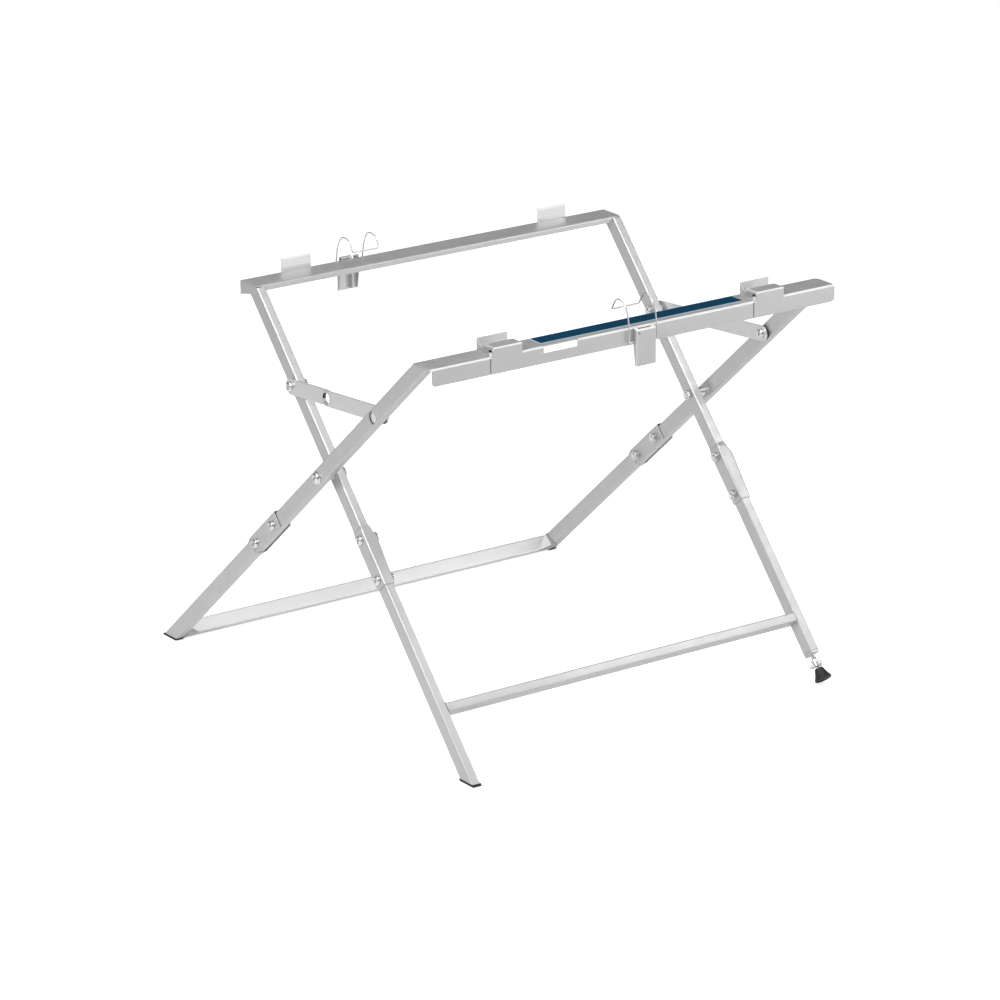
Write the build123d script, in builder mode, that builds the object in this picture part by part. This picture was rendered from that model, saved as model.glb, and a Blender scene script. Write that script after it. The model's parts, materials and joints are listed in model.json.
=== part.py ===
from build123d import *
from math import cos, radians, sin
import os

os.makedirs("parts", exist_ok=True)

# Folding stand for a bench saw: two U-shaped tube frames crossed on one pivot line.
# X runs along the rails, Y to the back, Z up; the origin is on the floor in the middle of the feet.

# Overall sizes
rail_height = 594
pivot_height = 363.5
front_half_width = 352.5
frame_gap = 13.3
front_lean = 48.2
back_lean = 41.9

# Tubes and sheet
tube_depth = 23
tube_width = 14
tube_wall = 1.5
tube_corner = 2
rail_sheet = 2
overrun = 40

# Front rail: its edges lie ahead of and behind the leg's middle line
front_rail_ahead = 23.6
front_rail_behind = 18.7
front_flange_depth = 23.5
front_flange_end_gap = 3.5
front_flange_corner = 5.5
hidden_flange_depth = 12
rail_corner_radius = 8
notch_offset = 190
notch_length = 58.5
notch_depth = 10.5
notch_back = 3
slit_offsets = (99.5, 556.5)
slit_width = 1.2
slit_top_gap = 0.8
label_offset = 192.5
label_gap = 13
label_depth = 30.9
label_thickness = 0.3

# Back rail
back_rail_ahead = 15.1
back_rail_behind = 27.1
back_lip_depth = 6.5
end_plate_depth = 19
end_plate_thickness = 2

# Brackets that the saw drops into
bracket_front_offsets = (102.5, 560.5)
bracket_front_length = 50.8
bracket_lip_offsets = (106.5, 565)
bracket_lip_length = 51.5
bracket_block_depth = 22
bracket_rise = 12.5
bracket_lip_rise = 17
bracket_web_rise = 7
bracket_web_reach = 7.6
bracket_sheet = 1.5
bracket_corner = 6
back_tab_offsets = (68.6, 525.2)
back_tab_lengths = (50.6, 52)
back_tab_drop = 8
back_tab_rise = 19
back_tab_hem = 5

# Clip brackets and wire clips; the paths step outward and upward from the rail's top edge
wire_radius = 1.1
running_clearance = 0.05
clip_bracket_width = 34
clip_bracket_reach = 8.6
clip_bracket_depth = 54.5
clip_bracket_slope = 3
clip_bracket_foot = 4
clip_bracket_taper = 28
clip_bracket_top_gap = 0.5
front_clip_offset = 342
back_clip_offset = 172.7
back_clip_rise = 3
wire_foot_drop = 20.5
front_wire_foot_reach = 4.2
back_wire_foot_reach = 5.7
front_wire_path = ((3.6, -2), (0.1, 17.5), (-6.4, 31.5), (-18.4, 37.5), (-27.4, 36), (-37.9, 19))
back_wire_path = ((6.7, -2), (3.1, 17.5), (-4.9, 33), (-14.4, 38.5), (-25.9, 34.5), (-35.9, 21))
wire_wide_overhang = 9.5
wire_narrow_overhang = 4.2
wire_bend = 3

# Sockets that join the upper and lower leg tubes
socket_sheet = 1.5
front_socket_top = 136.5
front_socket_step = 224
front_socket_taper = 16
front_socket_back_gap = 1.5
front_socket_side_gap = 1.5
front_socket_lip = 1
front_splice_bolts_along = (155, 214.5)
back_socket_shoulder = 92
back_socket_step = 96
back_socket_full = 109
back_socket_end = 181
back_socket_flare = 6
back_socket_end_flare = 2
back_splice_bolts_along = (105.5, 169)

# Feet and bars at the floor
pad_thickness = 3
pad_rim = 1
pad_plug_height = 14
front_bar_top_height = 96.2
front_bar_height = 14
floor_bar_top_height = 7.66
floor_bar_lip = 8
gusset_wide = 24
gusset_narrow = 4
gusset_rise_share = 0.45
gusset_slant_share = 0.225

# Leveller in the right front leg, measured along the leg
leveller_length = 44.7
plug_flange = 4.7
plug_length = 16
stud_above_leg_end = 20
stud_radius = 4
lock_nut_gap = 8.3
lock_nut_height = 11
lock_nut_hub_radius = 6.5
lock_nut_wings = 3
lock_nut_span_radius = 11.8
lock_nut_wing_radius = 2.4
lock_nut_wing_height = 8
rubber_height = 17.7
rubber_rim_height = 3
rubber_top_radius = 7
rubber_bottom_radius = 13

# Bolts
bolt_radius = 4
head_radius = 7
head_height = 4.5
nut_flats = 13
nut_height = 6
bolt_end = 1.5
socket_key_flats = 5.2
socket_key_depth = 2.5
pivot_head_radius = 7.5
pivot_flange_radius = 9.5
pivot_flange_height = 1.2

# Knee brace on each side: its bolts sit at these shares of the legs' length above the main pivot
brace_front_share = 0.551
brace_back_share = 0.467
brace_width = 24
brace_thickness = 2.5
body_gap = 0.3
brace_washer_radius = 11
brace_washer_thickness = 3.3
access_hole_radius = 8.5
knee_hole_radius = 8.2
eyelet_wall = 1.4
eyelet_flange = 1.6
eyelet_flange_height = 0.8

back_half_width = front_half_width - tube_width - frame_gap
leg_half_depth = tube_depth / 2
leg_half_bore = leg_half_depth - tube_wall
pad_half_depth = leg_half_depth + pad_rim
front_sine, front_cosine = sin(radians(front_lean)), cos(radians(front_lean))
back_sine, back_cosine = sin(radians(back_lean)), cos(radians(back_lean))
rail_underside = rail_height - rail_sheet
height_above_pivot = rail_underside - pivot_height
brace_front_reach = brace_front_share * height_above_pivot / front_cosine
brace_back_reach = brace_back_share * height_above_pivot / back_cosine
sides = (("left", -1), ("right", 1))


def front_along_at(height, across):
    """Distance down the front frame's leg at which a line at this offset meets a height."""
    return (pivot_height + across * front_sine - height) / front_cosine


def back_along_at(height, across):
    """Distance down the back frame's leg at which a line at this offset meets a height."""
    return (pivot_height - across * back_sine - height) / back_cosine


# The feet reach equally far to the front and to the back of the origin.
feet_to_back = front_along_at(0, pad_half_depth) * front_sine + pad_half_depth * front_cosine
feet_to_front = back_along_at(0, -pad_half_depth) * back_sine + pad_half_depth * back_cosine
pivot_y = (feet_to_front - feet_to_back) / 2

# Side views of the two frames: local x runs down the leg from the pivot, local y to its rear side.
front_side_view = Plane(
    origin=(0, pivot_y, pivot_height), x_dir=(0, front_sine, -front_cosine), z_dir=(1, 0, 0)
)
back_side_view = Plane(
    origin=(0, pivot_y, pivot_height), x_dir=(0, -back_sine, -back_cosine), z_dir=(1, 0, 0)
)
# Rear views: local x along the rails, local y down the leg, normal to the leg's rear side.
front_rear_view = Plane(
    origin=(0, pivot_y, pivot_height), x_dir=(1, 0, 0), z_dir=(0, front_cosine, front_sine)
)
back_rear_view = Plane(
    origin=(0, pivot_y, pivot_height), x_dir=(1, 0, 0), z_dir=(0, back_cosine, -back_sine)
)


def front_point(along, across=0):
    """Y and Z of a point of the front frame's leg."""
    return (
        pivot_y + along * front_sine + across * front_cosine,
        pivot_height - along * front_cosine + across * front_sine,
    )


def back_point(along, across=0):
    """Y and Z of a point of the back frame's leg."""
    return (
        pivot_y - along * back_sine + across * back_cosine,
        pivot_height - along * back_cosine - across * back_sine,
    )


def prism(view, start, length, corners, mode=Mode.ADD):
    """Push a polygon drawn in a view through a length, beginning at start along its normal."""
    with BuildSketch(view.offset(start), mode=Mode.PRIVATE) as outline:
        with BuildLine():
            Polyline(*corners, close=True)
        make_face()
    extrude(outline.sketch, amount=length, mode=mode)


def disc(view, start, length, centre, radius, mode=Mode.ADD):
    """Push a circle drawn in a view through a length."""
    with BuildSketch(view.offset(start), mode=Mode.PRIVATE) as outline:
        with Locations(centre):
            Circle(radius)
    extrude(outline.sketch, amount=length, mode=mode)


def bore(view, low, high, centre, radius):
    """Cut a round hole through whatever lies between two offsets of a view."""
    disc(view, low - overrun, high - low + 2 * overrun, centre, radius, mode=Mode.SUBTRACT)


def hexagon(view, start, length, centre, flats, mode=Mode.ADD):
    """Push a hexagon given across its flats through a length."""
    with BuildSketch(view.offset(start), mode=Mode.PRIVATE) as outline:
        with Locations(centre):
            RegularPolygon(radius=flats / 2, side_count=6, major_radius=False)
    extrude(outline.sketch, amount=length, mode=mode)


def block(low, high, mode=Mode.ADD):
    """A box between two opposite corners."""
    sizes = [b - a for a, b in zip(low, high)]
    with Locations(low):
        Box(*sizes, align=(Align.MIN, Align.MIN, Align.MIN), mode=mode)


def leg_corners(along_at, top, bottom, half):
    """Corners of a leg's side view; an end is a height to cut level or a distance to cut square."""
    starts = [top[1] if top[0] == "square" else along_at(top[1], a) for a in (-half, half)]
    ends = [bottom[1] if bottom[0] == "square" else along_at(bottom[1], a) for a in (-half, half)]
    return [(starts[0], -half), (starts[1], half), (ends[1], half), (ends[0], -half)]


def hollow_leg(view, along_at, x_low, top, bottom):
    """A rectangular tube with round long corners, open at both ends."""
    prism(view, x_low, tube_width, leg_corners(along_at, top, bottom, leg_half_depth))
    fillet(edges().filter_by(Axis((0, 0, 0), view.x_dir)), radius=tube_corner)
    corners = leg_corners(along_at, top, bottom, leg_half_bore)
    opened = [(a - overrun, c) for a, c in corners[:2]] + [(a + overrun, c) for a, c in corners[2:]]
    prism(view, x_low + tube_wall, tube_width - 2 * tube_wall, opened, mode=Mode.SUBTRACT)


def save(piece, label):
    """Label a piece and write it to its own file."""
    piece.part.label = label
    export_step(piece.part, f"parts/{label}.step")


# Front rail: top plate, deep front flange with a notch and two slits, short hidden rear flange
front_middle = front_point(front_along_at(rail_height, 0))[0]
front_rail_front = front_middle - front_rail_ahead
front_rail_back = front_middle + front_rail_behind
with BuildPart() as front_rail:
    plate_length = 2 * front_half_width
    with BuildSketch(Plane.XY.offset(rail_underside), mode=Mode.PRIVATE) as plate:
        with Locations((0, front_rail_front)):
            Rectangle(plate_length, front_rail_back - front_rail_front, align=(Align.CENTER, Align.MIN))
        fillet(plate.vertices().sort_by(Axis.X)[-2:].sort_by(Axis.Y)[-1], radius=rail_corner_radius)
    extrude(plate.sketch, amount=rail_sheet)
    flange_half = front_half_width - front_flange_end_gap
    flange_bottom = rail_height - front_flange_depth
    with BuildSketch(Plane.XZ.offset(-front_rail_front), mode=Mode.PRIVATE) as flange:
        with Locations((0, flange_bottom)):
            Rectangle(2 * flange_half, front_flange_depth, align=(Align.CENTER, Align.MIN))
        fillet(flange.vertices().group_by(Axis.Y)[0], radius=front_flange_corner)
    extrude(flange.sketch, amount=-rail_sheet)
    rear_half = front_half_width - tube_width
    block(
        (-rear_half, front_rail_back - rail_sheet, rail_height - hidden_flange_depth),
        (rear_half - rail_corner_radius, front_rail_back, rail_height),
    )
    notch_start = notch_offset - front_half_width
    block(
        (notch_start, front_rail_front - overrun, rail_height - notch_depth),
        (notch_start + notch_length, front_rail_front + notch_back, rail_height + overrun),
        mode=Mode.SUBTRACT,
    )
    for slit_offset in slit_offsets:
        slit = slit_offset - front_half_width
        block(
            (slit, front_rail_front - overrun, flange_bottom - overrun),
            (slit + slit_width, front_rail_front + rail_sheet, rail_underside - slit_top_gap),
            mode=Mode.SUBTRACT,
        )
save(front_rail, "front_rail")

# Bare label stuck to the top of the front rail
with BuildPart() as rail_label:
    label_start = label_offset - front_half_width
    label_end = bracket_front_offsets[1] - label_gap - front_half_width
    block(
        (label_start, front_rail_back - label_depth, rail_height),
        (label_end, front_rail_back, rail_height + label_thickness),
    )
save(rail_label, "rail_label")

# Brackets on the front rail: raised block in front, low base, upright lip and a web at its left
for (side_name, side), front_offset, lip_offset in zip(sides, bracket_front_offsets, bracket_lip_offsets):
    front_start = front_offset - front_half_width
    lip_start = lip_offset - front_half_width
    front_end = front_start + bracket_front_length
    lip_end = lip_start + bracket_lip_length
    block_back = front_rail_front + bracket_block_depth
    with BuildPart() as saw_bracket:
        with BuildSketch(Plane.XZ.offset(-front_rail_front), mode=Mode.PRIVATE) as face:
            with Locations((front_start, rail_height)):
                Rectangle(bracket_front_length, bracket_rise, align=(Align.MIN, Align.MIN))
            fillet(face.vertices().group_by(Axis.Y)[-1].sort_by(Axis.X)[0], radius=bracket_corner)
        extrude(face.sketch, amount=-bracket_block_depth)
        block(
            (front_start + bracket_sheet, front_rail_front + bracket_sheet, rail_height + bracket_sheet),
            (front_end + overrun, block_back + overrun, rail_height + bracket_rise - bracket_sheet),
            mode=Mode.SUBTRACT,
        )
        block(
            (max(front_start, lip_start), block_back, rail_height),
            (min(front_end, lip_end), front_rail_back, rail_height + bracket_sheet),
        )
        block(
            (lip_start, front_rail_back - bracket_sheet, rail_height),
            (lip_end, front_rail_back, rail_height + bracket_lip_rise),
        )
        lip_inside = front_rail_back - bracket_sheet
        prism(
            Plane.YZ,
            lip_start,
            bracket_sheet,
            [
                (block_back, rail_height),
                (block_back, rail_height + bracket_web_rise),
                (lip_inside - bracket_web_reach, rail_height + bracket_web_rise),
                (lip_inside, rail_height + bracket_lip_rise),
                (lip_inside, rail_height),
            ],
        )
    save(saw_bracket, f"saw_bracket_{side_name}")

# Back rail: top plate, small front lip, hidden rear flange and an end plate behind each leg
back_middle = back_point(back_along_at(rail_height, 0))[0]
back_rail_front = back_middle - back_rail_ahead
back_rail_back = back_middle + back_rail_behind
with BuildPart() as back_rail:
    block(
        (-back_half_width, back_rail_front, rail_underside),
        (back_half_width, back_rail_back, rail_height),
    )
    lip_half = back_half_width - tube_width
    block(
        (-lip_half, back_rail_front, rail_height - back_lip_depth),
        (lip_half, back_rail_front + rail_sheet, rail_height),
    )
    block(
        (-back_half_width, back_rail_back - rail_sheet, rail_height - hidden_flange_depth),
        (back_half_width, back_rail_back, rail_height),
    )
    plate_bottom = rail_height - end_plate_depth
    rear_top = back_point(back_along_at(rail_underside, leg_half_depth), leg_half_depth)
    rear_bottom = back_point(back_along_at(plate_bottom, leg_half_depth), leg_half_depth)
    for side_name, side in sides:
        x_low = -back_half_width if side < 0 else back_half_width - end_plate_thickness
        prism(
            Plane.YZ,
            x_low,
            end_plate_thickness,
            [rear_top, (back_rail_back, rail_underside), (back_rail_back, plate_bottom), rear_bottom],
        )
save(back_rail, "back_rail")

# Upright tabs on the back rail's rear flange, each with a hem turned back at its top
for (side_name, side), tab_offset, tab_length in zip(sides, back_tab_offsets, back_tab_lengths):
    tab_start = tab_offset - back_half_width
    tab_end = tab_start + tab_length
    tab_top = rail_height + back_tab_rise
    with BuildPart() as back_tab:
        block(
            (tab_start, back_rail_back, rail_height - back_tab_drop),
            (tab_end, back_rail_back + bracket_sheet, tab_top),
        )
        block(
            (tab_start, back_rail_back, tab_top - bracket_sheet),
            (tab_end, back_rail_back + back_tab_hem, tab_top),
        )
    save(back_tab, f"back_tab_{side_name}")


def clip_bracket(start, wall_y, outward, top, foot):
    """Channel on a rail's outer face: plate, sloped top and two side wings that narrow downward."""
    bottom = top + clip_bracket_top_gap - clip_bracket_depth
    for inset, reach_low, drop, mode in (
        (0, 0, 0, Mode.ADD), (bracket_sheet, -overrun, bracket_sheet, Mode.SUBTRACT)
    ):
        outer = clip_bracket_reach - inset
        slope = clip_bracket_slope * (outer - reach_low) / clip_bracket_reach
        high = top - drop - clip_bracket_slope * reach_low / clip_bracket_reach
        base = bottom if inset == 0 else bottom - overrun
        corners = [(reach_low, high), (outer, high - slope), (outer, base), (reach_low, base)]
        if inset == 0:
            wing_foot = clip_bracket_reach - clip_bracket_foot
            corners[3:] = [(wing_foot, bottom), (0, bottom + clip_bracket_taper)]
        prism(
            Plane.YZ,
            start + inset,
            clip_bracket_width - 2 * inset,
            [(wall_y + outward * reach, level) for reach, level in corners],
            mode=mode,
        )
    bore(Plane.YZ, start, start + clip_bracket_width, foot, wire_radius + running_clearance)


def wire_clip(foot, path, wire_sides, bracket_start):
    """Round wire from one hole of the bracket, over the rail and back to the other hole."""
    inset = 2 * bracket_sheet
    near, far = wire_sides
    points = [(bracket_start + inset, *foot), (near, *foot)]
    points += [(near, y, z) for y, z in path]
    points += [(far, y, z) for y, z in reversed(path)]
    points += [(far, *foot), (bracket_start + clip_bracket_width - inset, *foot)]
    with BuildLine(mode=Mode.PRIVATE) as spine:
        FilletPolyline(*points, radius=wire_bend)
    start = Plane(origin=points[0], z_dir=(near - points[0][0], 0, 0))
    with BuildSketch(start, mode=Mode.PRIVATE) as section:
        Circle(wire_radius)
    sweep(section.sketch, path=spine.line, transition=Transition.RIGHT)


# The two clip brackets are alike, the back one turned half round; so are their wires' offsets.
front_clip_start = front_clip_offset - front_half_width
back_clip_start = back_clip_offset - back_half_width
for label, start, wall_y, outward, top, foot_reach, path, overhangs in (
    ("front", front_clip_start, front_rail_front, -1, rail_height - clip_bracket_top_gap,
     front_wire_foot_reach, front_wire_path, (wire_wide_overhang, wire_narrow_overhang)),
    ("back", back_clip_start, back_rail_back, 1, rail_height + back_clip_rise,
     back_wire_foot_reach, back_wire_path, (wire_narrow_overhang, wire_wide_overhang)),
):
    foot = (wall_y + outward * foot_reach, rail_height - wire_foot_drop)
    with BuildPart() as bracket:
        clip_bracket(start, wall_y, outward, top, foot)
    save(bracket, f"{label}_clip_bracket")
    wire_path = [(wall_y + outward * reach, rail_height + rise) for reach, rise in path]
    wire_sides = (start - overhangs[0], start + clip_bracket_width + overhangs[1])
    with BuildPart() as wire:
        wire_clip(foot, wire_path, wire_sides, start)
    save(wire, f"{label}_wire_clip")

# Legs of the front frame: upper tubes under the rail
for side_name, side in sides:
    x_low = -front_half_width if side < 0 else front_half_width - tube_width
    outer_x = side * front_half_width
    with BuildPart() as front_rail_leg:
        hollow_leg(
            front_side_view, front_along_at, x_low, ("level", rail_underside), ("square", front_socket_step)
        )
        for along in (0, -brace_front_reach, *front_splice_bolts_along):
            bore(front_side_view, x_low, x_low + tube_width, (along, 0), bolt_radius)
        disc(
            front_side_view,
            outer_x - tube_wall,
            2 * tube_wall,
            (-brace_front_reach, 0),
            access_hole_radius,
            mode=Mode.SUBTRACT,
        )
    save(front_rail_leg, f"front_rail_leg_{side_name}")

# Lower tubes of the front frame: formed at the top into a socket that is open to the front
socket_front = -leg_half_depth - front_socket_lip
socket_back = leg_half_depth + front_socket_back_gap + socket_sheet
for side_name, side in sides:
    x_low = -front_half_width if side < 0 else front_half_width - tube_width
    x_high = x_low + tube_width
    low_wall = x_low - socket_sheet
    high_wall = x_high + front_socket_side_gap + socket_sheet
    taper_end = front_socket_step + front_socket_taper
    with BuildPart() as rear_foot_leg:
        hollow_leg(
            front_side_view, front_along_at, x_low, ("square", front_socket_step), ("level", pad_thickness)
        )
        prism(
            front_side_view,
            low_wall,
            high_wall - low_wall,
            [
                (front_socket_top, socket_front),
                (front_socket_top, socket_back),
                (front_socket_step, socket_back),
                (taper_end, leg_half_depth),
                (taper_end, -leg_half_depth),
                (front_socket_step, socket_front),
            ],
        )
        for step_x, edge_x, away in (
            (low_wall, x_low, low_wall - overrun), (high_wall, x_high, high_wall + overrun)
        ):
            prism(
                front_rear_view,
                -overrun,
                2 * overrun,
                [(step_x, front_socket_step), (edge_x, taper_end), (edge_x, taper_end + overrun),
                 (away, taper_end + overrun), (away, front_socket_step)],
                mode=Mode.SUBTRACT,
            )
        prism(
            front_side_view,
            x_low,
            tube_width + front_socket_side_gap,
            [
                (front_socket_top - overrun, -leg_half_depth - overrun),
                (front_socket_top - overrun, leg_half_depth + front_socket_back_gap),
                (front_socket_step, leg_half_depth + front_socket_back_gap),
                (front_socket_step, -leg_half_depth - overrun),
            ],
            mode=Mode.SUBTRACT,
        )
        prism(
            front_side_view,
            x_low + tube_wall,
            tube_width - 2 * tube_wall,
            [
                (front_socket_top, -leg_half_bore),
                (front_socket_top, leg_half_bore),
                (taper_end + overrun, leg_half_bore),
                (taper_end + overrun, -leg_half_bore),
            ],
            mode=Mode.SUBTRACT,
        )
        for along in front_splice_bolts_along:
            bore(front_side_view, low_wall, high_wall, (along, 0), bolt_radius)
    save(rear_foot_leg, f"rear_foot_leg_{side_name}")

# Bar on the floor between the front frame's legs: channel with lips turned down along the legs
floor_bar_half = front_half_width - tube_width
floor_bar_top = front_along_at(floor_bar_top_height, -leg_half_depth)
floor_bar_web_end = floor_bar_top + rail_sheet
floor_bar_end = floor_bar_top + floor_bar_lip
lip_face = leg_half_depth - rail_sheet
with BuildPart() as rear_floor_bar:
    prism(
        front_side_view,
        -floor_bar_half,
        2 * floor_bar_half,
        [
            (floor_bar_top, -leg_half_depth),
            (floor_bar_top, leg_half_depth),
            (floor_bar_end, leg_half_depth),
            (floor_bar_end, lip_face),
            (floor_bar_web_end, lip_face),
            (floor_bar_web_end, -lip_face),
            (floor_bar_end, -lip_face),
            (floor_bar_end, -leg_half_depth),
        ],
    )
save(rear_floor_bar, "rear_floor_bar")

# Folded corner pieces between that bar and the legs, wide in front and narrow behind
for side_name, side in sides:
    with BuildPart() as floor_bar_gusset:
        for across, wide in ((-leg_half_depth, gusset_wide), (leg_half_depth, gusset_narrow)):
            rise = wide * gusset_rise_share
            slant = wide * gusset_slant_share
            with BuildSketch(front_rear_view.offset(across)):
                with BuildLine():
                    Polyline(
                        (side * floor_bar_half, floor_bar_top),
                        (side * (floor_bar_half - wide), floor_bar_top),
                        (side * (floor_bar_half - slant), floor_bar_top - rise),
                        (side * floor_bar_half, floor_bar_top - rise - gusset_narrow),
                        close=True,
                    )
                make_face()
        loft()
    save(floor_bar_gusset, f"floor_bar_gusset_{side_name}")

# Legs of the back frame: upper tubes that flare into sockets open to the rear
for side_name, side in sides:
    x_low = -back_half_width if side < 0 else back_half_width - tube_width
    x_high = x_low + tube_width
    with BuildPart() as back_rail_leg:
        hollow_leg(
            back_side_view, back_along_at, x_low, ("level", rail_underside), ("square", back_socket_step)
        )
        prism(
            back_rear_view,
            -leg_half_depth - socket_sheet,
            tube_depth + socket_sheet,
            [
                (x_low, back_socket_shoulder),
                (x_low - socket_sheet, back_socket_step),
                (x_low - socket_sheet, back_socket_end),
                (x_high + back_socket_end_flare, back_socket_end),
                (x_high + back_socket_flare, back_socket_full),
                (x_high + socket_sheet, back_socket_step),
                (x_high, back_socket_shoulder),
            ],
        )
        prism(
            back_side_view,
            x_low - overrun,
            tube_width + 2 * overrun,
            [
                (back_socket_shoulder - overrun, -leg_half_depth - overrun),
                (back_socket_shoulder - overrun, -leg_half_depth),
                (back_socket_shoulder, -leg_half_depth),
                (back_socket_step, -leg_half_depth - socket_sheet),
                (back_socket_step, -leg_half_depth - overrun),
            ],
            mode=Mode.SUBTRACT,
        )
        prism(
            back_rear_view,
            -leg_half_depth,
            tube_depth + overrun,
            [
                (x_low, back_socket_step),
                (x_low, back_socket_end + overrun),
                (x_high + back_socket_end_flare - socket_sheet, back_socket_end + overrun),
                (x_high + back_socket_end_flare - socket_sheet, back_socket_end),
                (x_high + back_socket_flare - socket_sheet, back_socket_full),
                (x_high, back_socket_step),
            ],
            mode=Mode.SUBTRACT,
        )
        prism(
            back_side_view,
            x_low + tube_wall,
            tube_width - 2 * tube_wall,
            [
                (-overrun, -leg_half_bore),
                (-overrun, leg_half_bore),
                (back_socket_end, leg_half_bore),
                (back_socket_end, -leg_half_bore),
            ],
            mode=Mode.SUBTRACT,
        )
        bore(back_side_view, x_low, x_high, (0, 0), bolt_radius + running_clearance)
        for along in (-brace_back_reach, *back_splice_bolts_along):
            bore(back_side_view, x_low, x_high, (along, 0), bolt_radius)
    save(back_rail_leg, f"back_rail_leg_{side_name}")

# Lower tubes of the back frame: the left one stands on a pad, the right one ends square for the leveller
rubber_rim = rubber_bottom_radius * back_sine
rubber_bottom = (pivot_height - rubber_rim) / back_cosine
levelling_leg_end = rubber_bottom - leveller_length
foot_ends = {"left": ("level", pad_thickness), "right": ("square", levelling_leg_end)}
for side_name, side in sides:
    x_low = -back_half_width if side < 0 else back_half_width - tube_width
    with BuildPart() as front_foot_leg:
        hollow_leg(
            back_side_view, back_along_at, x_low, ("square", back_socket_step), foot_ends[side_name]
        )
        for along in back_splice_bolts_along:
            bore(back_side_view, x_low, x_low + tube_width, (along, 0), bolt_radius)
    save(front_foot_leg, f"front_foot_leg_{side_name}")

# Bar between the lower tubes in front
front_bar_half = back_half_width - tube_width
with BuildPart() as front_foot_bar:
    front_bar_top = back_along_at(front_bar_top_height, -leg_half_depth)
    bar_end = front_bar_top + front_bar_height
    prism(
        back_side_view,
        -front_bar_half,
        2 * front_bar_half,
        [(front_bar_top, -leg_half_depth), (front_bar_top, leg_half_depth), (bar_end, leg_half_depth),
         (bar_end, -leg_half_depth)],
    )
    fillet(edges().filter_by(Axis.X), radius=tube_corner)
    prism(
        back_side_view,
        -front_bar_half - overrun,
        2 * front_bar_half + 2 * overrun,
        [
            (front_bar_top + tube_wall, -leg_half_bore),
            (front_bar_top + tube_wall, leg_half_bore),
            (bar_end - tube_wall, leg_half_bore),
            (bar_end - tube_wall, -leg_half_bore),
        ],
        mode=Mode.SUBTRACT,
    )
save(front_foot_bar, "front_foot_bar")


def foot_pad(view, along_at, x_low, rim_low, rim_high):
    """Thin pad under a leg with a plug pressed up into the tube."""
    floor, pad_top = ("level", 0), ("level", pad_thickness)
    plug_top = ("level", pad_thickness + pad_plug_height)
    prism(
        view,
        x_low - rim_low,
        tube_width + rim_low + rim_high,
        leg_corners(along_at, pad_top, floor, pad_half_depth),
    )
    prism(
        view,
        x_low + tube_wall,
        tube_width - 2 * tube_wall,
        leg_corners(along_at, plug_top, pad_top, leg_half_bore),
    )


for side_name, side in sides:
    x_low = -front_half_width if side < 0 else front_half_width - tube_width
    rims = (pad_rim, 0) if side < 0 else (0, pad_rim)
    with BuildPart() as rear_foot_pad:
        foot_pad(front_side_view, front_along_at, x_low, *rims)
    save(rear_foot_pad, f"rear_foot_pad_{side_name}")

with BuildPart() as front_foot_pad:
    foot_pad(back_side_view, back_along_at, -back_half_width, pad_rim, pad_rim)
save(front_foot_pad, "front_foot_pad")

# Leveller in the right front leg: end plug, stud, winged lock nut and rubber foot
leveller_x = back_half_width - tube_width / 2
leveller_view = Plane(
    origin=(leveller_x, pivot_y, pivot_height), x_dir=(1, 0, 0), z_dir=(0, -back_sine, -back_cosine)
)
with BuildPart() as leg_end_plug:
    with BuildSketch(leveller_view.offset(levelling_leg_end), mode=Mode.PRIVATE) as flange:
        Rectangle(tube_width, tube_depth)
        fillet(flange.vertices(), radius=tube_corner)
    extrude(flange.sketch, amount=plug_flange)
    with BuildSketch(leveller_view.offset(levelling_leg_end), mode=Mode.PRIVATE) as core:
        Rectangle(tube_width - 2 * tube_wall, tube_depth - 2 * tube_wall)
    extrude(core.sketch, amount=-plug_length)
    plug_end = levelling_leg_end + plug_flange
    bore(leveller_view, levelling_leg_end, plug_end, (0, 0), stud_radius + running_clearance)
save(leg_end_plug, "leg_end_plug")

rubber_top = rubber_bottom - rubber_height
rubber_rim_top = rubber_bottom - rubber_rim_height
with BuildPart() as levelling_stud:
    stud_top = levelling_leg_end - stud_above_leg_end
    disc(leveller_view, stud_top, rubber_top - stud_top, (0, 0), stud_radius)
save(levelling_stud, "levelling_stud")

nut_start = plug_end + lock_nut_gap
with BuildPart() as levelling_lock_nut:
    disc(leveller_view, nut_start, lock_nut_height, (0, 0), lock_nut_hub_radius)
    wing_start = nut_start + lock_nut_height - lock_nut_wing_height
    wing_tip = lock_nut_span_radius - lock_nut_wing_radius
    with BuildSketch(leveller_view.offset(wing_start), mode=Mode.PRIVATE) as wings:
        with PolarLocations(wing_tip / 2, lock_nut_wings, start_angle=90):
            SlotOverall(wing_tip + 2 * lock_nut_wing_radius, 2 * lock_nut_wing_radius)
    extrude(wings.sketch, amount=lock_nut_wing_height)
    nut_end = nut_start + lock_nut_height
    bore(leveller_view, nut_start, nut_end, (0, 0), stud_radius + running_clearance)
save(levelling_lock_nut, "levelling_lock_nut")

with BuildPart() as levelling_rubber_foot:
    for along, radius in ((rubber_top, rubber_top_radius), (rubber_rim_top, rubber_bottom_radius)):
        with BuildSketch(leveller_view.offset(along)):
            Circle(radius)
    loft()
    disc(leveller_view, rubber_rim_top, rubber_rim_height, (0, 0), rubber_bottom_radius)
save(levelling_rubber_foot, "levelling_rubber_foot")


def bolt(view, centre, seat, far_seat):
    """Headed bolt from its seat across to the far side, with a hex socket in the head."""
    away = 1 if seat > far_seat else -1
    shank_end = far_seat - away * (nut_height + bolt_end)
    low = min(seat, shank_end)
    disc(view, low, abs(seat - shank_end), centre, bolt_radius)
    head_start = seat if away > 0 else seat - head_height
    disc(view, head_start, head_height, centre, head_radius)
    key_start = seat + head_height - socket_key_depth if away > 0 else seat - head_height
    hexagon(view, key_start, socket_key_depth, centre, socket_key_flats, mode=Mode.SUBTRACT)


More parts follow.
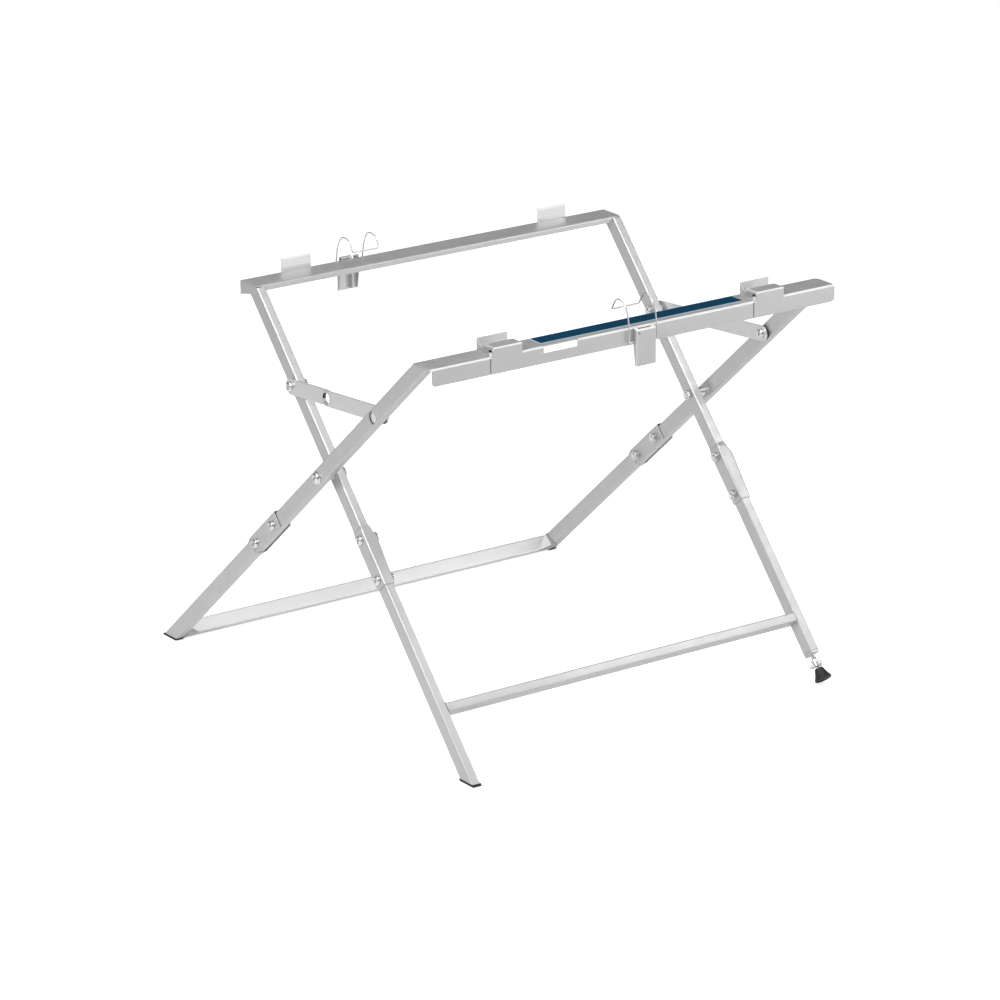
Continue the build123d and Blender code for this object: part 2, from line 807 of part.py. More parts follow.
def nut(view, centre, seat, away, hole_radius):
    """Hexagon nut standing on its seat."""
    start = seat if away > 0 else seat - nut_height
    hexagon(view, start, nut_height, centre, nut_flats)
    bore(view, start, start + nut_height, centre, hole_radius)


front_seats = {
    -1: (-front_half_width - socket_sheet,
         -front_half_width + tube_width + front_socket_side_gap + socket_sheet),
    1: (front_half_width + front_socket_side_gap + socket_sheet,
        front_half_width - tube_width - socket_sheet),
}
with BuildPart() as front_splice_bolts:
    for side_name, side in sides:
        for along in front_splice_bolts_along:
            bolt(front_side_view, (along, 0), *front_seats[side])
save(front_splice_bolts, "front_splice_bolts")

with BuildPart() as front_splice_nuts:
    for side_name, side in sides:
        for along in front_splice_bolts_along:
            nut(front_side_view, (along, 0), front_seats[side][1], -side, bolt_radius)
save(front_splice_nuts, "front_splice_nuts")


def flared_wall(along, x_high):
    """X of the flared socket wall's outer face at a distance down the leg."""
    share = (along - back_socket_full) / (back_socket_end - back_socket_full)
    flare = back_socket_flare + share * (back_socket_end_flare - back_socket_flare)
    return x_high + min(flare, back_socket_flare)


with BuildPart() as back_splice_bolts:
    for along in back_splice_bolts_along:
        bolt(back_side_view, (along, 0), -back_half_width - socket_sheet,
             flared_wall(along + head_radius, -back_half_width + tube_width))
        bolt(back_side_view, (along, 0), flared_wall(along - head_radius, back_half_width),
             back_half_width - tube_width - socket_sheet)
save(back_splice_bolts, "back_splice_bolts")

with BuildPart() as back_splice_nuts:
    for along in back_splice_bolts_along:
        nut(back_side_view, (along, 0), flared_wall(along - head_radius, -back_half_width + tube_width),
            1, bolt_radius)
        nut(back_side_view, (along, 0), back_half_width - tube_width - socket_sheet, -1, bolt_radius)
save(back_splice_nuts, "back_splice_nuts")

# Main pivots: headed bolt, spacer tube between the frames and a nut inside the back frame's leg
with BuildPart() as main_pivot_bolts:
    for side_name, side in sides:
        seat = side * front_half_width
        shank_end = side * (back_half_width - tube_width - body_gap - nut_height - bolt_end)
        disc(front_side_view, min(seat, shank_end), abs(seat - shank_end), (0, 0), bolt_radius)
        flange_start = seat if side > 0 else seat - pivot_flange_height
        disc(front_side_view, flange_start, pivot_flange_height, (0, 0), pivot_flange_radius)
        head_start = seat if side > 0 else seat - head_height
        disc(front_side_view, head_start, head_height, (0, 0), pivot_head_radius)
        key_start = seat + head_height - socket_key_depth if side > 0 else seat - head_height
        hexagon(front_side_view, key_start, socket_key_depth, (0, 0), socket_key_flats,
                mode=Mode.SUBTRACT)
save(main_pivot_bolts, "main_pivot_bolts")

with BuildPart() as main_pivot_spacers:
    for side_name, side in sides:
        seat = side * (front_half_width - tube_width)
        length = frame_gap - body_gap
        start = seat if side < 0 else seat - length
        disc(front_side_view, start, length, (0, 0), head_radius)
        bore(front_side_view, start, start + length, (0, 0), bolt_radius)
save(main_pivot_spacers, "main_pivot_spacers")

with BuildPart() as main_pivot_nuts:
    for side_name, side in sides:
        seat = side * (back_half_width - tube_width - body_gap)
        nut(front_side_view, (0, 0), seat, -side, bolt_radius)
save(main_pivot_nuts, "main_pivot_nuts")

# Knee brace: a long bar on the front frame and a short bar on the back frame meet at an eyelet.
# The bars lie in one line when open, and their lengths let them fold flat along the legs.
brace_front_centre = front_point(-brace_front_reach)
brace_back_centre = back_point(-brace_back_reach)
span_y = brace_back_centre[0] - brace_front_centre[0]
span_z = brace_back_centre[1] - brace_front_centre[1]
span = (span_y**2 + span_z**2) ** 0.5
knee_share = (span - brace_back_reach + brace_front_reach) / 2 / span
knee_centre = (
    brace_front_centre[0] + knee_share * span_y,
    brace_front_centre[1] + knee_share * span_z,
)
long_bar_outer = front_half_width - tube_width - brace_washer_thickness - body_gap
long_bar_inner = long_bar_outer - brace_thickness
short_bar_outer = long_bar_inner - body_gap
short_bar_inner = short_bar_outer - brace_thickness


def brace_bar(x_low, start, end, start_hole, end_hole):
    """Flat bar with round ends and a hole at each end, drawn in the side view."""
    length = ((end[0] - start[0]) ** 2 + (end[1] - start[1]) ** 2) ** 0.5
    half = brace_width / 2
    offset_y = half * (start[1] - end[1]) / length
    offset_z = half * (end[0] - start[0]) / length
    with BuildSketch(Plane.YZ.offset(x_low), mode=Mode.PRIVATE) as outline:
        Polygon(
            (start[0] + offset_y, start[1] + offset_z),
            (end[0] + offset_y, end[1] + offset_z),
            (end[0] - offset_y, end[1] - offset_z),
            (start[0] - offset_y, start[1] - offset_z),
            align=None,
        )
        with Locations(start, end):
            Circle(half)
    extrude(outline.sketch, amount=brace_thickness)
    bore(Plane.YZ, x_low, x_low + brace_thickness, start, start_hole)
    bore(Plane.YZ, x_low, x_low + brace_thickness, end, end_hole)


def placed(outer, inner, side):
    """Lower X of a layer given by its outer and inner faces on the right side."""
    return inner if side > 0 else -outer


eyelet_outer_radius = knee_hole_radius + eyelet_wall
for side_name, side in sides:
    with BuildPart() as brace_long:
        brace_bar(
            placed(long_bar_outer, long_bar_inner, side),
            brace_front_centre,
            knee_centre,
            bolt_radius + running_clearance,
            eyelet_outer_radius,
        )
    save(brace_long, f"brace_long_bar_{side_name}")
    with BuildPart() as brace_short:
        brace_bar(
            placed(short_bar_outer, short_bar_inner, side),
            brace_back_centre,
            knee_centre,
            bolt_radius + running_clearance,
            eyelet_outer_radius,
        )
    save(brace_short, f"brace_short_bar_{side_name}")
    for label, outer, inner, flange_outer in (
        ("knee_eyelet_outer", long_bar_outer, long_bar_inner, True),
        ("knee_eyelet_inner", short_bar_outer, short_bar_inner, False),
    ):
        flange_low = outer if flange_outer else inner - eyelet_flange_height
        flange_high = flange_low + eyelet_flange_height
        with BuildPart() as knee_eyelet:
            disc(Plane.YZ, placed(outer, inner, side), outer - inner, knee_centre, eyelet_outer_radius)
            disc(Plane.YZ, placed(flange_high, flange_low, side), eyelet_flange_height, knee_centre,
                 eyelet_outer_radius + eyelet_flange)
            bore(Plane.YZ, -front_half_width, front_half_width, knee_centre, knee_hole_radius)
        save(knee_eyelet, f"{label}_{side_name}")

# Brace bolts in the front frame, with a black washer between leg and bar
washer_inner = long_bar_outer + body_gap
with BuildPart() as brace_front_washers:
    for side_name, side in sides:
        outer, inner = front_half_width - tube_width, washer_inner
        low = placed(outer, inner, side)
        disc(Plane.YZ, low, outer - inner, brace_front_centre, brace_washer_radius)
        bore(Plane.YZ, low, low + outer - inner, brace_front_centre, bolt_radius)
save(brace_front_washers, "brace_front_washers")

with BuildPart() as brace_front_bolts:
    for side_name, side in sides:
        head_outer = long_bar_inner - body_gap
        head_inner = head_outer - head_height
        shank_outer = front_half_width - tube_width / 2
        disc(Plane.YZ, placed(shank_outer, head_outer, side), shank_outer - head_outer,
             brace_front_centre, bolt_radius)
        disc(Plane.YZ, placed(head_outer, head_inner, side), head_height, brace_front_centre, head_radius)
        key_outer = head_inner + socket_key_depth
        hexagon(Plane.YZ, placed(key_outer, head_inner, side), socket_key_depth, brace_front_centre,
                socket_key_flats, mode=Mode.SUBTRACT)
save(brace_front_bolts, "brace_front_bolts")

# Brace bolts in the back frame, with a spacer between leg and bar
spacer_outer = short_bar_inner - body_gap
with BuildPart() as brace_back_spacers:
    for side_name, side in sides:
        low = placed(spacer_outer, back_half_width, side)
        disc(Plane.YZ, low, spacer_outer - back_half_width, brace_back_centre, head_radius)
        bore(Plane.YZ, low, low + spacer_outer - back_half_width, brace_back_centre, bolt_radius)
save(brace_back_spacers, "brace_back_spacers")

with BuildPart() as brace_back_bolts:
    for side_name, side in sides:
        head_inner = short_bar_outer + body_gap
        head_outer = head_inner + head_height
        shank_inner = back_half_width - tube_width - nut_height - bolt_end
        disc(Plane.YZ, placed(head_inner, shank_inner, side), head_inner - shank_inner,
             brace_back_centre, bolt_radius)
        disc(Plane.YZ, placed(head_outer, head_inner, side), head_height, brace_back_centre, head_radius)
        key_inner = head_outer - socket_key_depth
        hexagon(Plane.YZ, placed(head_outer, key_inner, side), socket_key_depth, brace_back_centre,
                socket_key_flats, mode=Mode.SUBTRACT)
save(brace_back_bolts, "brace_back_bolts")

with BuildPart() as brace_back_nuts:
    for side_name, side in sides:
        nut(Plane.YZ, brace_back_centre, side * (back_half_width - tube_width), -side, bolt_radius)
save(brace_back_nuts, "brace_back_nuts")
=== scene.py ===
import json
from math import acos, atan2, cos, hypot, pi, radians, sin, tan

import bmesh
import bpy
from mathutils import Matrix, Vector
from mathutils.geometry import tessellate_polygon


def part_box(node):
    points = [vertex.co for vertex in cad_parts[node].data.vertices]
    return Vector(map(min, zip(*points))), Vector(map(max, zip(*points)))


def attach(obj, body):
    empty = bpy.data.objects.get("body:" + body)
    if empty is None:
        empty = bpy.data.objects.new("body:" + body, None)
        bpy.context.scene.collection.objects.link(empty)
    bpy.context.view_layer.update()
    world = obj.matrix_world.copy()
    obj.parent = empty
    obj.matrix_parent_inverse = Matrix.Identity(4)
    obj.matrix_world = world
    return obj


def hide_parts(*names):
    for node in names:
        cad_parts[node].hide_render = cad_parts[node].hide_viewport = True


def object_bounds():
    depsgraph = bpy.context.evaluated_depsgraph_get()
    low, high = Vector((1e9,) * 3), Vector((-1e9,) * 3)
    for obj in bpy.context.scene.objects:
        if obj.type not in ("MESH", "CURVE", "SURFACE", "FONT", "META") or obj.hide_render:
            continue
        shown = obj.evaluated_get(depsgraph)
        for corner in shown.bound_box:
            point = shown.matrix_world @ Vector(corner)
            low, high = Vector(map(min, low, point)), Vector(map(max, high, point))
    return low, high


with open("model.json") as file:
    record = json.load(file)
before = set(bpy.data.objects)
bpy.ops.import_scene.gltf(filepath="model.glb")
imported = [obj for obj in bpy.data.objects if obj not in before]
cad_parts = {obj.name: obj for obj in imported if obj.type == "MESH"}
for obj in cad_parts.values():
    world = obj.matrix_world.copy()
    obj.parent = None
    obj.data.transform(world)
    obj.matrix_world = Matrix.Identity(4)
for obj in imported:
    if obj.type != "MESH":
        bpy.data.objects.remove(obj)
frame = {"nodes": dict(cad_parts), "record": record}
CAD_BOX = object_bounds()
NODES = frame["nodes"]
RECORD = frame["record"]
BEHAVIOUR = RECORD["behaviour"]
BODY_OF = {node: body for body, nodes in BEHAVIOUR["bodies"].items() for node in nodes}
SLOT_OF = {part["node"]: part["material_slot"] for part in RECORD["subparts"]}
JOINT = {joint["name"]: joint for joint in BEHAVIOUR["joints"]}
MM = 0.001
SIDES = (("left", -1), ("right", 1))

# Sizes in millimetres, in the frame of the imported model
PIVOT = Vector(JOINT["scissor_fold"]["pos_m"]) / MM
RAIL_TOP = 594
FRONT_HALF, BACK_HALF = 352.5, 325.2
TUBE_WIDTH, TUBE_DEPTH, TUBE_WALL = 14, 23, 1.5
HALF = TUBE_DEPTH / 2


def mm_box(node):
    low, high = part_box(node)
    return low / MM, high / MM


class Leg:
    """Side view of a frame's legs: along runs down from the pivot, across to the rear side."""

    def __init__(self, lean, way):
        self.down = Vector((0, way * sin(radians(lean)), -cos(radians(lean))))
        self.rear = Vector((0, cos(radians(lean)), way * sin(radians(lean))))

    def point(self, x, across, along):
        return PIVOT + self.down * along + self.rear * across + Vector((x, 0, 0))

    def ring(self, loop, along):
        """Outline across the leg, set at a distance down it."""
        return [self.point(x, across, along) for x, across in loop]

    def along_at(self, height, across):
        return (PIVOT.z + across * self.rear.z - height) / -self.down.z

    def end(self, spec, across):
        """Where a line of the leg ends: at a height for a level cut, at a distance for a square one."""
        kind, value = spec
        return value if kind == "square" else self.along_at(value, across)


FRONT = Leg(48.2, 1)
BACK = Leg(41.9, -1)
FRONT_X = {"left": -FRONT_HALF, "right": FRONT_HALF - TUBE_WIDTH}
BACK_X = {"left": -BACK_HALF, "right": BACK_HALF - TUBE_WIDTH}

# Flat outlines


def rounded(points, radii, steps=4):
    """Closed outline through points with its corners turned into arcs."""
    loop = []
    for i, (x, y) in enumerate(points):
        radius = radii[i] if isinstance(radii, (list, tuple)) else radii
        if not radius:
            loop.append((x, y))
            continue
        before, here = Vector(points[i - 1]), Vector((x, y))
        after = Vector(points[(i + 1) % len(points)])
        inward, outward = (here - before).normalized(), (after - here).normalized()
        turn = atan2(inward.cross(outward), inward.dot(outward))
        start = here - inward * radius * tan(abs(turn) / 2)
        sign = 1 if turn > 0 else -1
        centre = start + Vector((-inward.y, inward.x)) * radius * sign
        arm = start - centre
        for k in range(steps + 1):
            angle = turn * k / steps
            loop.append(
                (
                    centre.x + arm.x * cos(angle) - arm.y * sin(angle),
                    centre.y + arm.x * sin(angle) + arm.y * cos(angle),
                )
            )
    return loop


def rectangle(x0, x1, y0, y1, radii=0, steps=4):
    return rounded([(x0, y0), (x1, y0), (x1, y1), (x0, y1)], radii, steps)


def round_hole(x, y, radius, count=32):
    """A circle that runs clockwise, as the edge of a hole does."""
    turns = [-2 * pi * k / count for k in range(count)]
    return [(x + radius * cos(a), y + radius * sin(a)) for a in turns]


def inset(loop, distance):
    """The outline moved into its material: left of an outer edge that runs anticlockwise."""
    if not distance:
        return list(loop)
    moved = []
    for i, point in enumerate(loop):
        here = Vector(point)
        first = (here - Vector(loop[i - 1])).normalized()
        second = (Vector(loop[(i + 1) % len(loop)]) - here).normalized()
        one, two = Vector((-first.y, first.x)), Vector((-second.y, second.x))
        step = (one + two) / max(1 + one.dot(two), 0.3)
        moved.append(tuple(here + step * distance))
    return moved


# Solids, each a bmesh in millimetres


def loft(rings, closed=False, bm=None, caps=True):
    """Skin over rings of equally many points; a closed chain of rings makes a hollow piece."""
    bm = bm or bmesh.new()
    rows = [[bm.verts.new(point) for point in ring] for ring in rings]
    pairs = list(zip(rows, rows[1:])) + ([(rows[-1], rows[0])] if closed else [])
    for low, high in pairs:
        for i in range(len(low)):
            j = (i + 1) % len(low)
            bm.faces.new((low[i], low[j], high[j], high[i]))
    if caps and not closed:
        bm.faces.new(rows[0][::-1])
        bm.faces.new(rows[-1])
    return bm if caps or closed else rows


def score(bm, place, way):
    """Edges where a plane crosses the solid, which stays whole."""
    geometry = bm.verts[:] + bm.edges[:] + bm.faces[:]
    bmesh.ops.bisect_plane(bm, geom=geometry, dist=0.0005, plane_co=place, plane_no=way)


def mark(bm, index, test=None):
    """Give faces the piece's material of that index; the test gets a face's middle and normal."""
    for face in bm.faces:
        if test is None or test(face.calc_center_median(), face.normal):
            face.material_index = index
    return bm


def slab(loops, low, high, place, edge=0.3, folds=()):
    """Sheet cut to outlines, its rims rounded, bent into shape by place; folds are its bend lines."""
    bm = bmesh.new()
    levels = [(0, low), (0, high)]
    if edge:
        steps = 2 if edge < 1 else 5
        turns = [pi / 2 * k / steps for k in range(steps + 1)]
        rims = [(edge * (1 - sin(a)), edge * (1 - cos(a))) for a in turns]
        levels = [(inward, low + up) for inward, up in rims]
        levels += [(inward, high - up) for inward, up in reversed(rims)]
    bottoms, tops = [], []
    for loop in loops:
        rings = [[(x, y, level) for x, y in inset(loop, inward)] for inward, level in levels]
        rows = loft(rings, bm=bm, caps=False)
        bottoms.append(rows[0])
        tops.append(rows[-1])
    for rows in (bottoms, tops):
        flat = [vert for row in rows for vert in row]
        outlines = [[Vector((v.co.x, v.co.y, 0)) for v in row] for row in rows]
        for corners in tessellate_polygon(outlines):
            bm.faces.new([flat[i] for i in corners])
    for level in folds:
        score(bm, (0, level, 0), (0, 1, 0))
    bmesh.ops.recalc_face_normals(bm, faces=bm.faces)
    for vert in bm.verts:
        vert.co = place(*vert.co)
    return bm


class Fold:
    """Bent path of a sheet in the side view: where a distance along the flat sheet ends up."""

    def __init__(self, corners, radii, steps=5):
        self.corners = [Vector(corner) for corner in corners]
        self.lengths = [0]
        for a, b in zip(self.corners, self.corners[1:]):
            self.lengths.append(self.lengths[-1] + (b - a).length)
        self.bends = []
        self.lines = []
        for i in range(1, len(self.corners) - 1):
            first = (self.corners[i] - self.corners[i - 1]).normalized()
            second = (self.corners[i + 1] - self.corners[i]).normalized()
            turn = atan2(first.cross(second), first.dot(second))
            radius = radii[i - 1] if isinstance(radii, (list, tuple)) else radii
            reach = radius * tan(abs(turn) / 2)
            start, stop = self.lengths[i] - reach, self.lengths[i] + reach
            self.bends.append((start, stop, i, first, turn, radius, reach))
            self.lines += [start + (stop - start) * k / steps for k in range(steps + 1)]

    def at(self, s, depth):
        """Point of the side view; depth goes to the left of the path, into the sheet."""
        for start, stop, i, first, turn, radius, reach in self.bends:
            if start <= s <= stop:
                left = Vector((-first.y, first.x))
                sign = 1 if turn > 0 else -1
                centre = self.corners[i] - first * reach + left * radius * sign
                angle = turn * (s - start) / (stop - start)
                arm = left * (-sign) * (radius - sign * depth)
                return centre + Vector(
                    (arm.x * cos(angle) - arm.y * sin(angle), arm.x * sin(angle) + arm.y * cos(angle))
                )
        i = 0
        while i < len(self.corners) - 2 and s > self.lengths[i + 1]:
            i += 1
        way = (self.corners[i + 1] - self.corners[i]).normalized()
        return self.corners[i] + way * (s - self.lengths[i]) + Vector((-way.y, way.x)) * depth


def folded(loops, fold, sheet, edge=0.3):
    """Sheet metal folded along X lines: outlines in X and the distance along the path."""

    def place(x, s, depth):
        y, z = fold.at(s, depth)
        return Vector((x, y, z))

    return slab(loops, 0, sheet, place, edge, fold.lines)


def across_x(y, z, x):
    return Vector((x, y, z))

def as_drawn(x, y, z):
    return Vector((x, y, z))


def box(x0, x1, y0, y1, z0, z1):
    return slab([rectangle(x0, x1, y0, y1)], z0, z1, as_drawn, 0)


def turned(origin, way, rings, count=36, closed=False):
    """Turned piece: rings of (distance, radius) or (distance, radius, flats of a hexagon)."""
    way = Vector(way).normalized()
    one = way.orthogonal().normalized()
    two = way.cross(one)
    loops = []
    for ring in rings:
        distance, radius = ring[:2]
        loop = []
        for k in range(count):
            angle = 2 * pi * k / count
            reach = radius(angle) if callable(radius) else radius
            if len(ring) > 2:
                reach = min(reach, ring[2] / 2 / cos((angle + pi / 6) % (pi / 3) - pi / 6))
            loop.append(Vector(origin) + way * distance + (one * cos(angle) + two * sin(angle)) * reach)
        loops.append(loop)
    return loft(loops, closed=closed)


def threaded(start, stop, radius, pitch=1.25, steps=6):
    """Rings of a screw thread between two distances."""
    depth = 0.55 * pitch
    rings = []
    total = max(int(abs(stop - start) / pitch * steps), 1)
    for k in range(total + 1):
        distance = start + (stop - start) * k / total
        fade = min(k, total - k, steps) / steps

        def reach(angle, distance=distance, fade=fade):
            phase = (distance / pitch - angle / (2 * pi)) % 1
            return radius - depth * fade * (1 - abs(2 * phase - 1))

        rings.append((distance, reach))
    return rings


def joined(*parts):
    whole = bmesh.new()
    for part in parts:
        mesh = bpy.data.meshes.new("part")
        part.to_mesh(mesh)
        part.free()
        whole.from_mesh(mesh)
        bpy.data.meshes.remove(mesh)
    return whole


def cut(solid, *cutters):
    """The solid less its cutters."""
    objects = []
    for bm in (solid, *cutters):
        bmesh.ops.recalc_face_normals(bm, faces=bm.faces)
        mesh = bpy.data.meshes.new("cut")
        bm.to_mesh(mesh)
        bm.free()
        piece = bpy.data.objects.new("cut", mesh)
        bpy.context.scene.collection.objects.link(piece)
        objects.append(piece)
    for cutter in objects[1:]:
        modifier = objects[0].modifiers.new("cut", "BOOLEAN")
        modifier.operation = "DIFFERENCE"
        modifier.solver = "EXACT"
        modifier.object = cutter
    graph = bpy.context.evaluated_depsgraph_get()
    mesh = bpy.data.meshes.new_from_object(objects[0].evaluated_get(graph))
    result = bmesh.new()
    result.from_mesh(mesh)
    for data in [piece.data for piece in objects] + [mesh]:
        bpy.data.meshes.remove(data)
    bmesh.ops.remove_doubles(result, verts=result.verts, dist=0.001)
    return result


def filleted(points, radii, steps=6):
    """Open path in space with its corners turned into arcs."""
    points = [Vector(point) for point in points]
    path = [points[0]]
    for i in range(1, len(points) - 1):
        first, second = points[i] - points[i - 1], points[i + 1] - points[i]
        turn = acos(max(-1, min(1, first.normalized().dot(second.normalized()))))
        if turn < 0.02:
            path.append(points[i])
            continue
        reach = min(radii[i - 1] * tan(turn / 2), 0.49 * first.length, 0.49 * second.length)
        start, stop = points[i] - first.normalized() * reach, points[i] + second.normalized() * reach
        bow = (start + stop) / 2 - points[i]
        radius = reach / tan(turn / 2)
        centre = points[i] + bow.normalized() * hypot(radius, reach)
        one, two = start - centre, stop - centre
        for k in range(steps + 1):
            share = k / steps
            path.append(centre + (one * sin((1 - share) * turn) + two * sin(share * turn)) / sin(turn))
    path.append(points[-1])
    return path


def swept(path, radius, count=12):
    """Round bar along a path; the radius may change with the distance along it."""
    rings = []
    side = None
    travelled = 0
    for i, point in enumerate(path):
        before, after = path[max(i - 1, 0)], path[min(i + 1, len(path) - 1)]
        way = (after - before).normalized()
        travelled += (point - before).length
        side = way.orthogonal() if side is None else side - way * side.dot(way)
        side.normalize()
        other = way.cross(side)
        reach = radius(travelled) if callable(radius) else radius
        turns = [2 * pi * k / count for k in range(count)]
        rings.append([point + (side * cos(a) + other * sin(a)) * reach for a in turns])
    return loft(rings)


def bead(points, radius):
    """Weld bead: a low round line with the ripples that the torch leaves."""
    points = [Vector(point) for point in points]
    path = []
    for a, b in zip(points, points[1:]):
        steps = max(int((b - a).length / 0.5), 1)
        path += [a.lerp(b, k / steps) for k in range(steps)]
    path.append(points[-1])
    total = sum((b - a).length for a, b in zip(path, path[1:]))

    def reach(travelled):
        ends = min(travelled, total - travelled, 1.5) / 1.5
        return radius * (0.35 + 0.65 * max(ends, 0)) * (1 + 0.16 * sin(travelled * 2 * pi / 1.9))

    return swept(path, reach, 10)


# Materials


class Nodes:
    """Node tree of a material or the world, with short calls that add to it."""

    def __init__(self, owner):
        owner.use_nodes = True
        self.tree = owner.node_tree
        self.shader = self.tree.nodes.get("Principled BSDF")

    def feed(self, node, values):
        """Set a node's inputs: each value is a number, a colour or another node's output."""
        for name, value in values.items():
            socket = node.inputs[name]
            if isinstance(value, bpy.types.NodeSocket):
                self.tree.links.new(value, socket)
            else:
                socket.default_value = (*value, 1) if socket.type == "RGBA" else value

    def add(self, kind, values=(), **settings):
        node = self.tree.nodes.new(kind)
        for name, setting in settings.items():
            setattr(node, name, setting)
        self.feed(node, dict(values))
        return node

    def grain(self, scale, detail, rough=0.5, stretch=None):
        """Noise in the part's own frame, so it keeps its real size and rides with the piece."""
        source = self.add("ShaderNodeTexCoord").outputs["Object"]
        if stretch:
            mapping = self.add("ShaderNodeMapping", {"Vector": source, "Scale": stretch})
            source = mapping.outputs["Vector"]
        values = {"Vector": source, "Scale": scale, "Detail": detail, "Roughness": rough}
        return self.add("ShaderNodeTexNoise", values).outputs["Fac"]

    def cloud(self, low, high, *grain):
        """The same noise, spread over a range of values."""
        values = {"Value": self.grain(*grain), "From Min": 0.3, "From Max": 0.7}
        values |= {"To Min": low, "To Max": high}
        return self.add("ShaderNodeMapRange", values).outputs["Result"]

    def mix(self, factor, first, second, blend="MIX"):
        """Mix of two colours; each is a value or another node's output."""
        values = {0: factor, 6: first, 7: second}
        return self.add("ShaderNodeMix", values, data_type="RGBA", blend_type=blend).outputs[2]

    def bump(self, height, distance, strength, before=None):
        values = {"Height": height, "Distance": distance, "Strength": strength}
        if before:
            values["Normal"] = before
        normal = self.add("ShaderNodeBump", values).outputs["Normal"]
        self.feed(self.shader, {"Normal": normal})
        return normal


def paint(name, level, metallic):
    """Satin silver powder coat: fine flake, soft orange peel, faint rubbing marks, uneven gloss."""
    material = bpy.data.materials.new(name)
    nodes = Nodes(material)
    dark = [level * share for share in (0.93, 0.93, 0.935)]
    light = [level * share for share in (1.07, 1.07, 1.075)]
    white = (1, 1, 1)
    flake = nodes.cloud(0, 1, 2600, 2)
    haze = nodes.mix(nodes.cloud(0, 1, 14, 4), (0.965, 0.965, 0.97), white)
    rubs = nodes.mix(nodes.cloud(0, 1, 60, 5, 0.6, (0.3, 1, 1)), (0.975, 0.975, 0.975), white)
    hazed = nodes.mix(1, nodes.mix(flake, dark, light), haze, "MULTIPLY")
    nodes.feed(nodes.shader, {
        "Base Color": nodes.mix(1, hazed, rubs, "MULTIPLY"),
        "Metallic": metallic,
        "Roughness": nodes.cloud(0.36, 0.46, 60, 3),
        "Coat Weight": 0.25,
        "Coat Roughness": 0.16,
    })
    peel = nodes.bump(nodes.grain(750, 2), 0.00003, 0.5)
    nodes.bump(flake, 0.00001, 0.5, peel)
    return material


def metal(name, low, high, gloss, size, depth):
    """Plated metal: cloudy brightness and gloss with fine tool marks."""
    material = bpy.data.materials.new(name)
    nodes = Nodes(material)
    nodes.feed(nodes.shader, {
        "Base Color": nodes.mix(nodes.cloud(0, 1, 160, 4), low, high),
        "Metallic": 1,
        "Roughness": nodes.cloud(*gloss, 420, 3),
    })
    nodes.bump(nodes.grain(size, 2), depth, 0.5)
    return material


def black(name, low, high, gloss, size, depth):
    """Moulded black rubber or plastic with a fine pebbled skin and a little dust in it."""
    material = bpy.data.materials.new(name)
    nodes = Nodes(material)
    nodes.feed(nodes.shader, {
        "Base Color": nodes.mix(nodes.cloud(0, 1, 220, 4), (low,) * 3, (high,) * 3),
        "Roughness": nodes.cloud(*gloss, 90, 3),
    })
    nodes.bump(nodes.grain(size, 2), depth, 0.6)
    return material


def film(name, low, high):
    """Printed film: even ink under a satin laminate with a slight ripple."""
    material = bpy.data.materials.new(name)
    nodes = Nodes(material)
    nodes.feed(nodes.shader, {
        "Base Color": nodes.mix(nodes.cloud(0, 1, 45, 3), low, high),
        "Specular IOR Level": 0.05,
        "Roughness": nodes.cloud(0.5, 0.6, 300, 2),
    })
    nodes.bump(nodes.grain(260, 2), 0.00002, 0.4)
    return material


PAINT = paint("satin_silver_paint", 0.64, 0.7)
# Lighter copy of the paint: painted highlights on bends and edges, painted light on faces that meet the
# light, and the pale cap in the leg's hole and the brackets' tongues.
PALE_AND_PAINTED_LIGHT_PAINT = paint("pale_and_painted_light_paint", 0.92, 0.1)
# Lighter copy of the paint: the brace bars and eyelets, painted light on the rear floor bar and the back
# clip's inner wall, and the tabs' painted shade below the rail.
BAR_AND_PAINTED_LIGHT_PAINT = paint("bar_and_painted_light_paint", 0.80, 0.7)
# Darker copy of the paint: painted shade on the back clip's barrel.
PAINTED_SHADE_PAINT = paint("painted_shade_paint", 0.40, 0.7)
ZINC = metal("bright_zinc", (0.78, 0.78, 0.77), (0.93, 0.93, 0.92), (0.20, 0.34), 2400, 0.00001)
WIRE = metal("plated_spring_wire", (0.70, 0.70, 0.69), (0.84, 0.84, 0.83), (0.34, 0.46), 3000, 0.00001)
RUBBER = black("black_rubber", 0.010, 0.026, (0.42, 0.56), 1500, 0.00004)
# Black plastic, which also paints shade into the knee eyelets' upper bores.
PLASTIC_AND_PAINTED_SHADE = black("black_plastic", 0.012, 0.022, (0.36, 0.48), 2200, 0.00002)
BLUE = film("dark_blue_film", (0.0008, 0.036, 0.078), (0.0012, 0.043, 0.090))
PALE_BLUE = film("pale_blue_film", (0.36, 0.50, 0.60), (0.40, 0.55, 0.65))
SLOT_MATERIAL = {
    "frame_paint": PAINT,
    "zinc_fasteners": ZINC,
    "spring_wire": WIRE,
    "black_rubber": RUBBER,
    "black_plastic": PLASTIC_AND_PAINTED_SHADE,
    "blue_label": BLUE,
}
for node, cad in NODES.items():
    cad.data.materials.clear()
    cad.data.materials.append(SLOT_MATERIAL[SLOT_OF[node]])


def painted_highlight_edge(bm, front, top, reach):
    """Painted highlight: mark the faces round an upper front edge with the paler material, so that it shows
    as a bright line.
    """
    bm.normal_update()

    def on_edge(middle, normal):
        near = front + 0.02 < middle.y < front + reach and top - reach < middle.z < top - 0.02
        return near and abs(normal.y) > 0.1 and abs(normal.z) > 0.1

    return mark(bm, 1, on_edge)


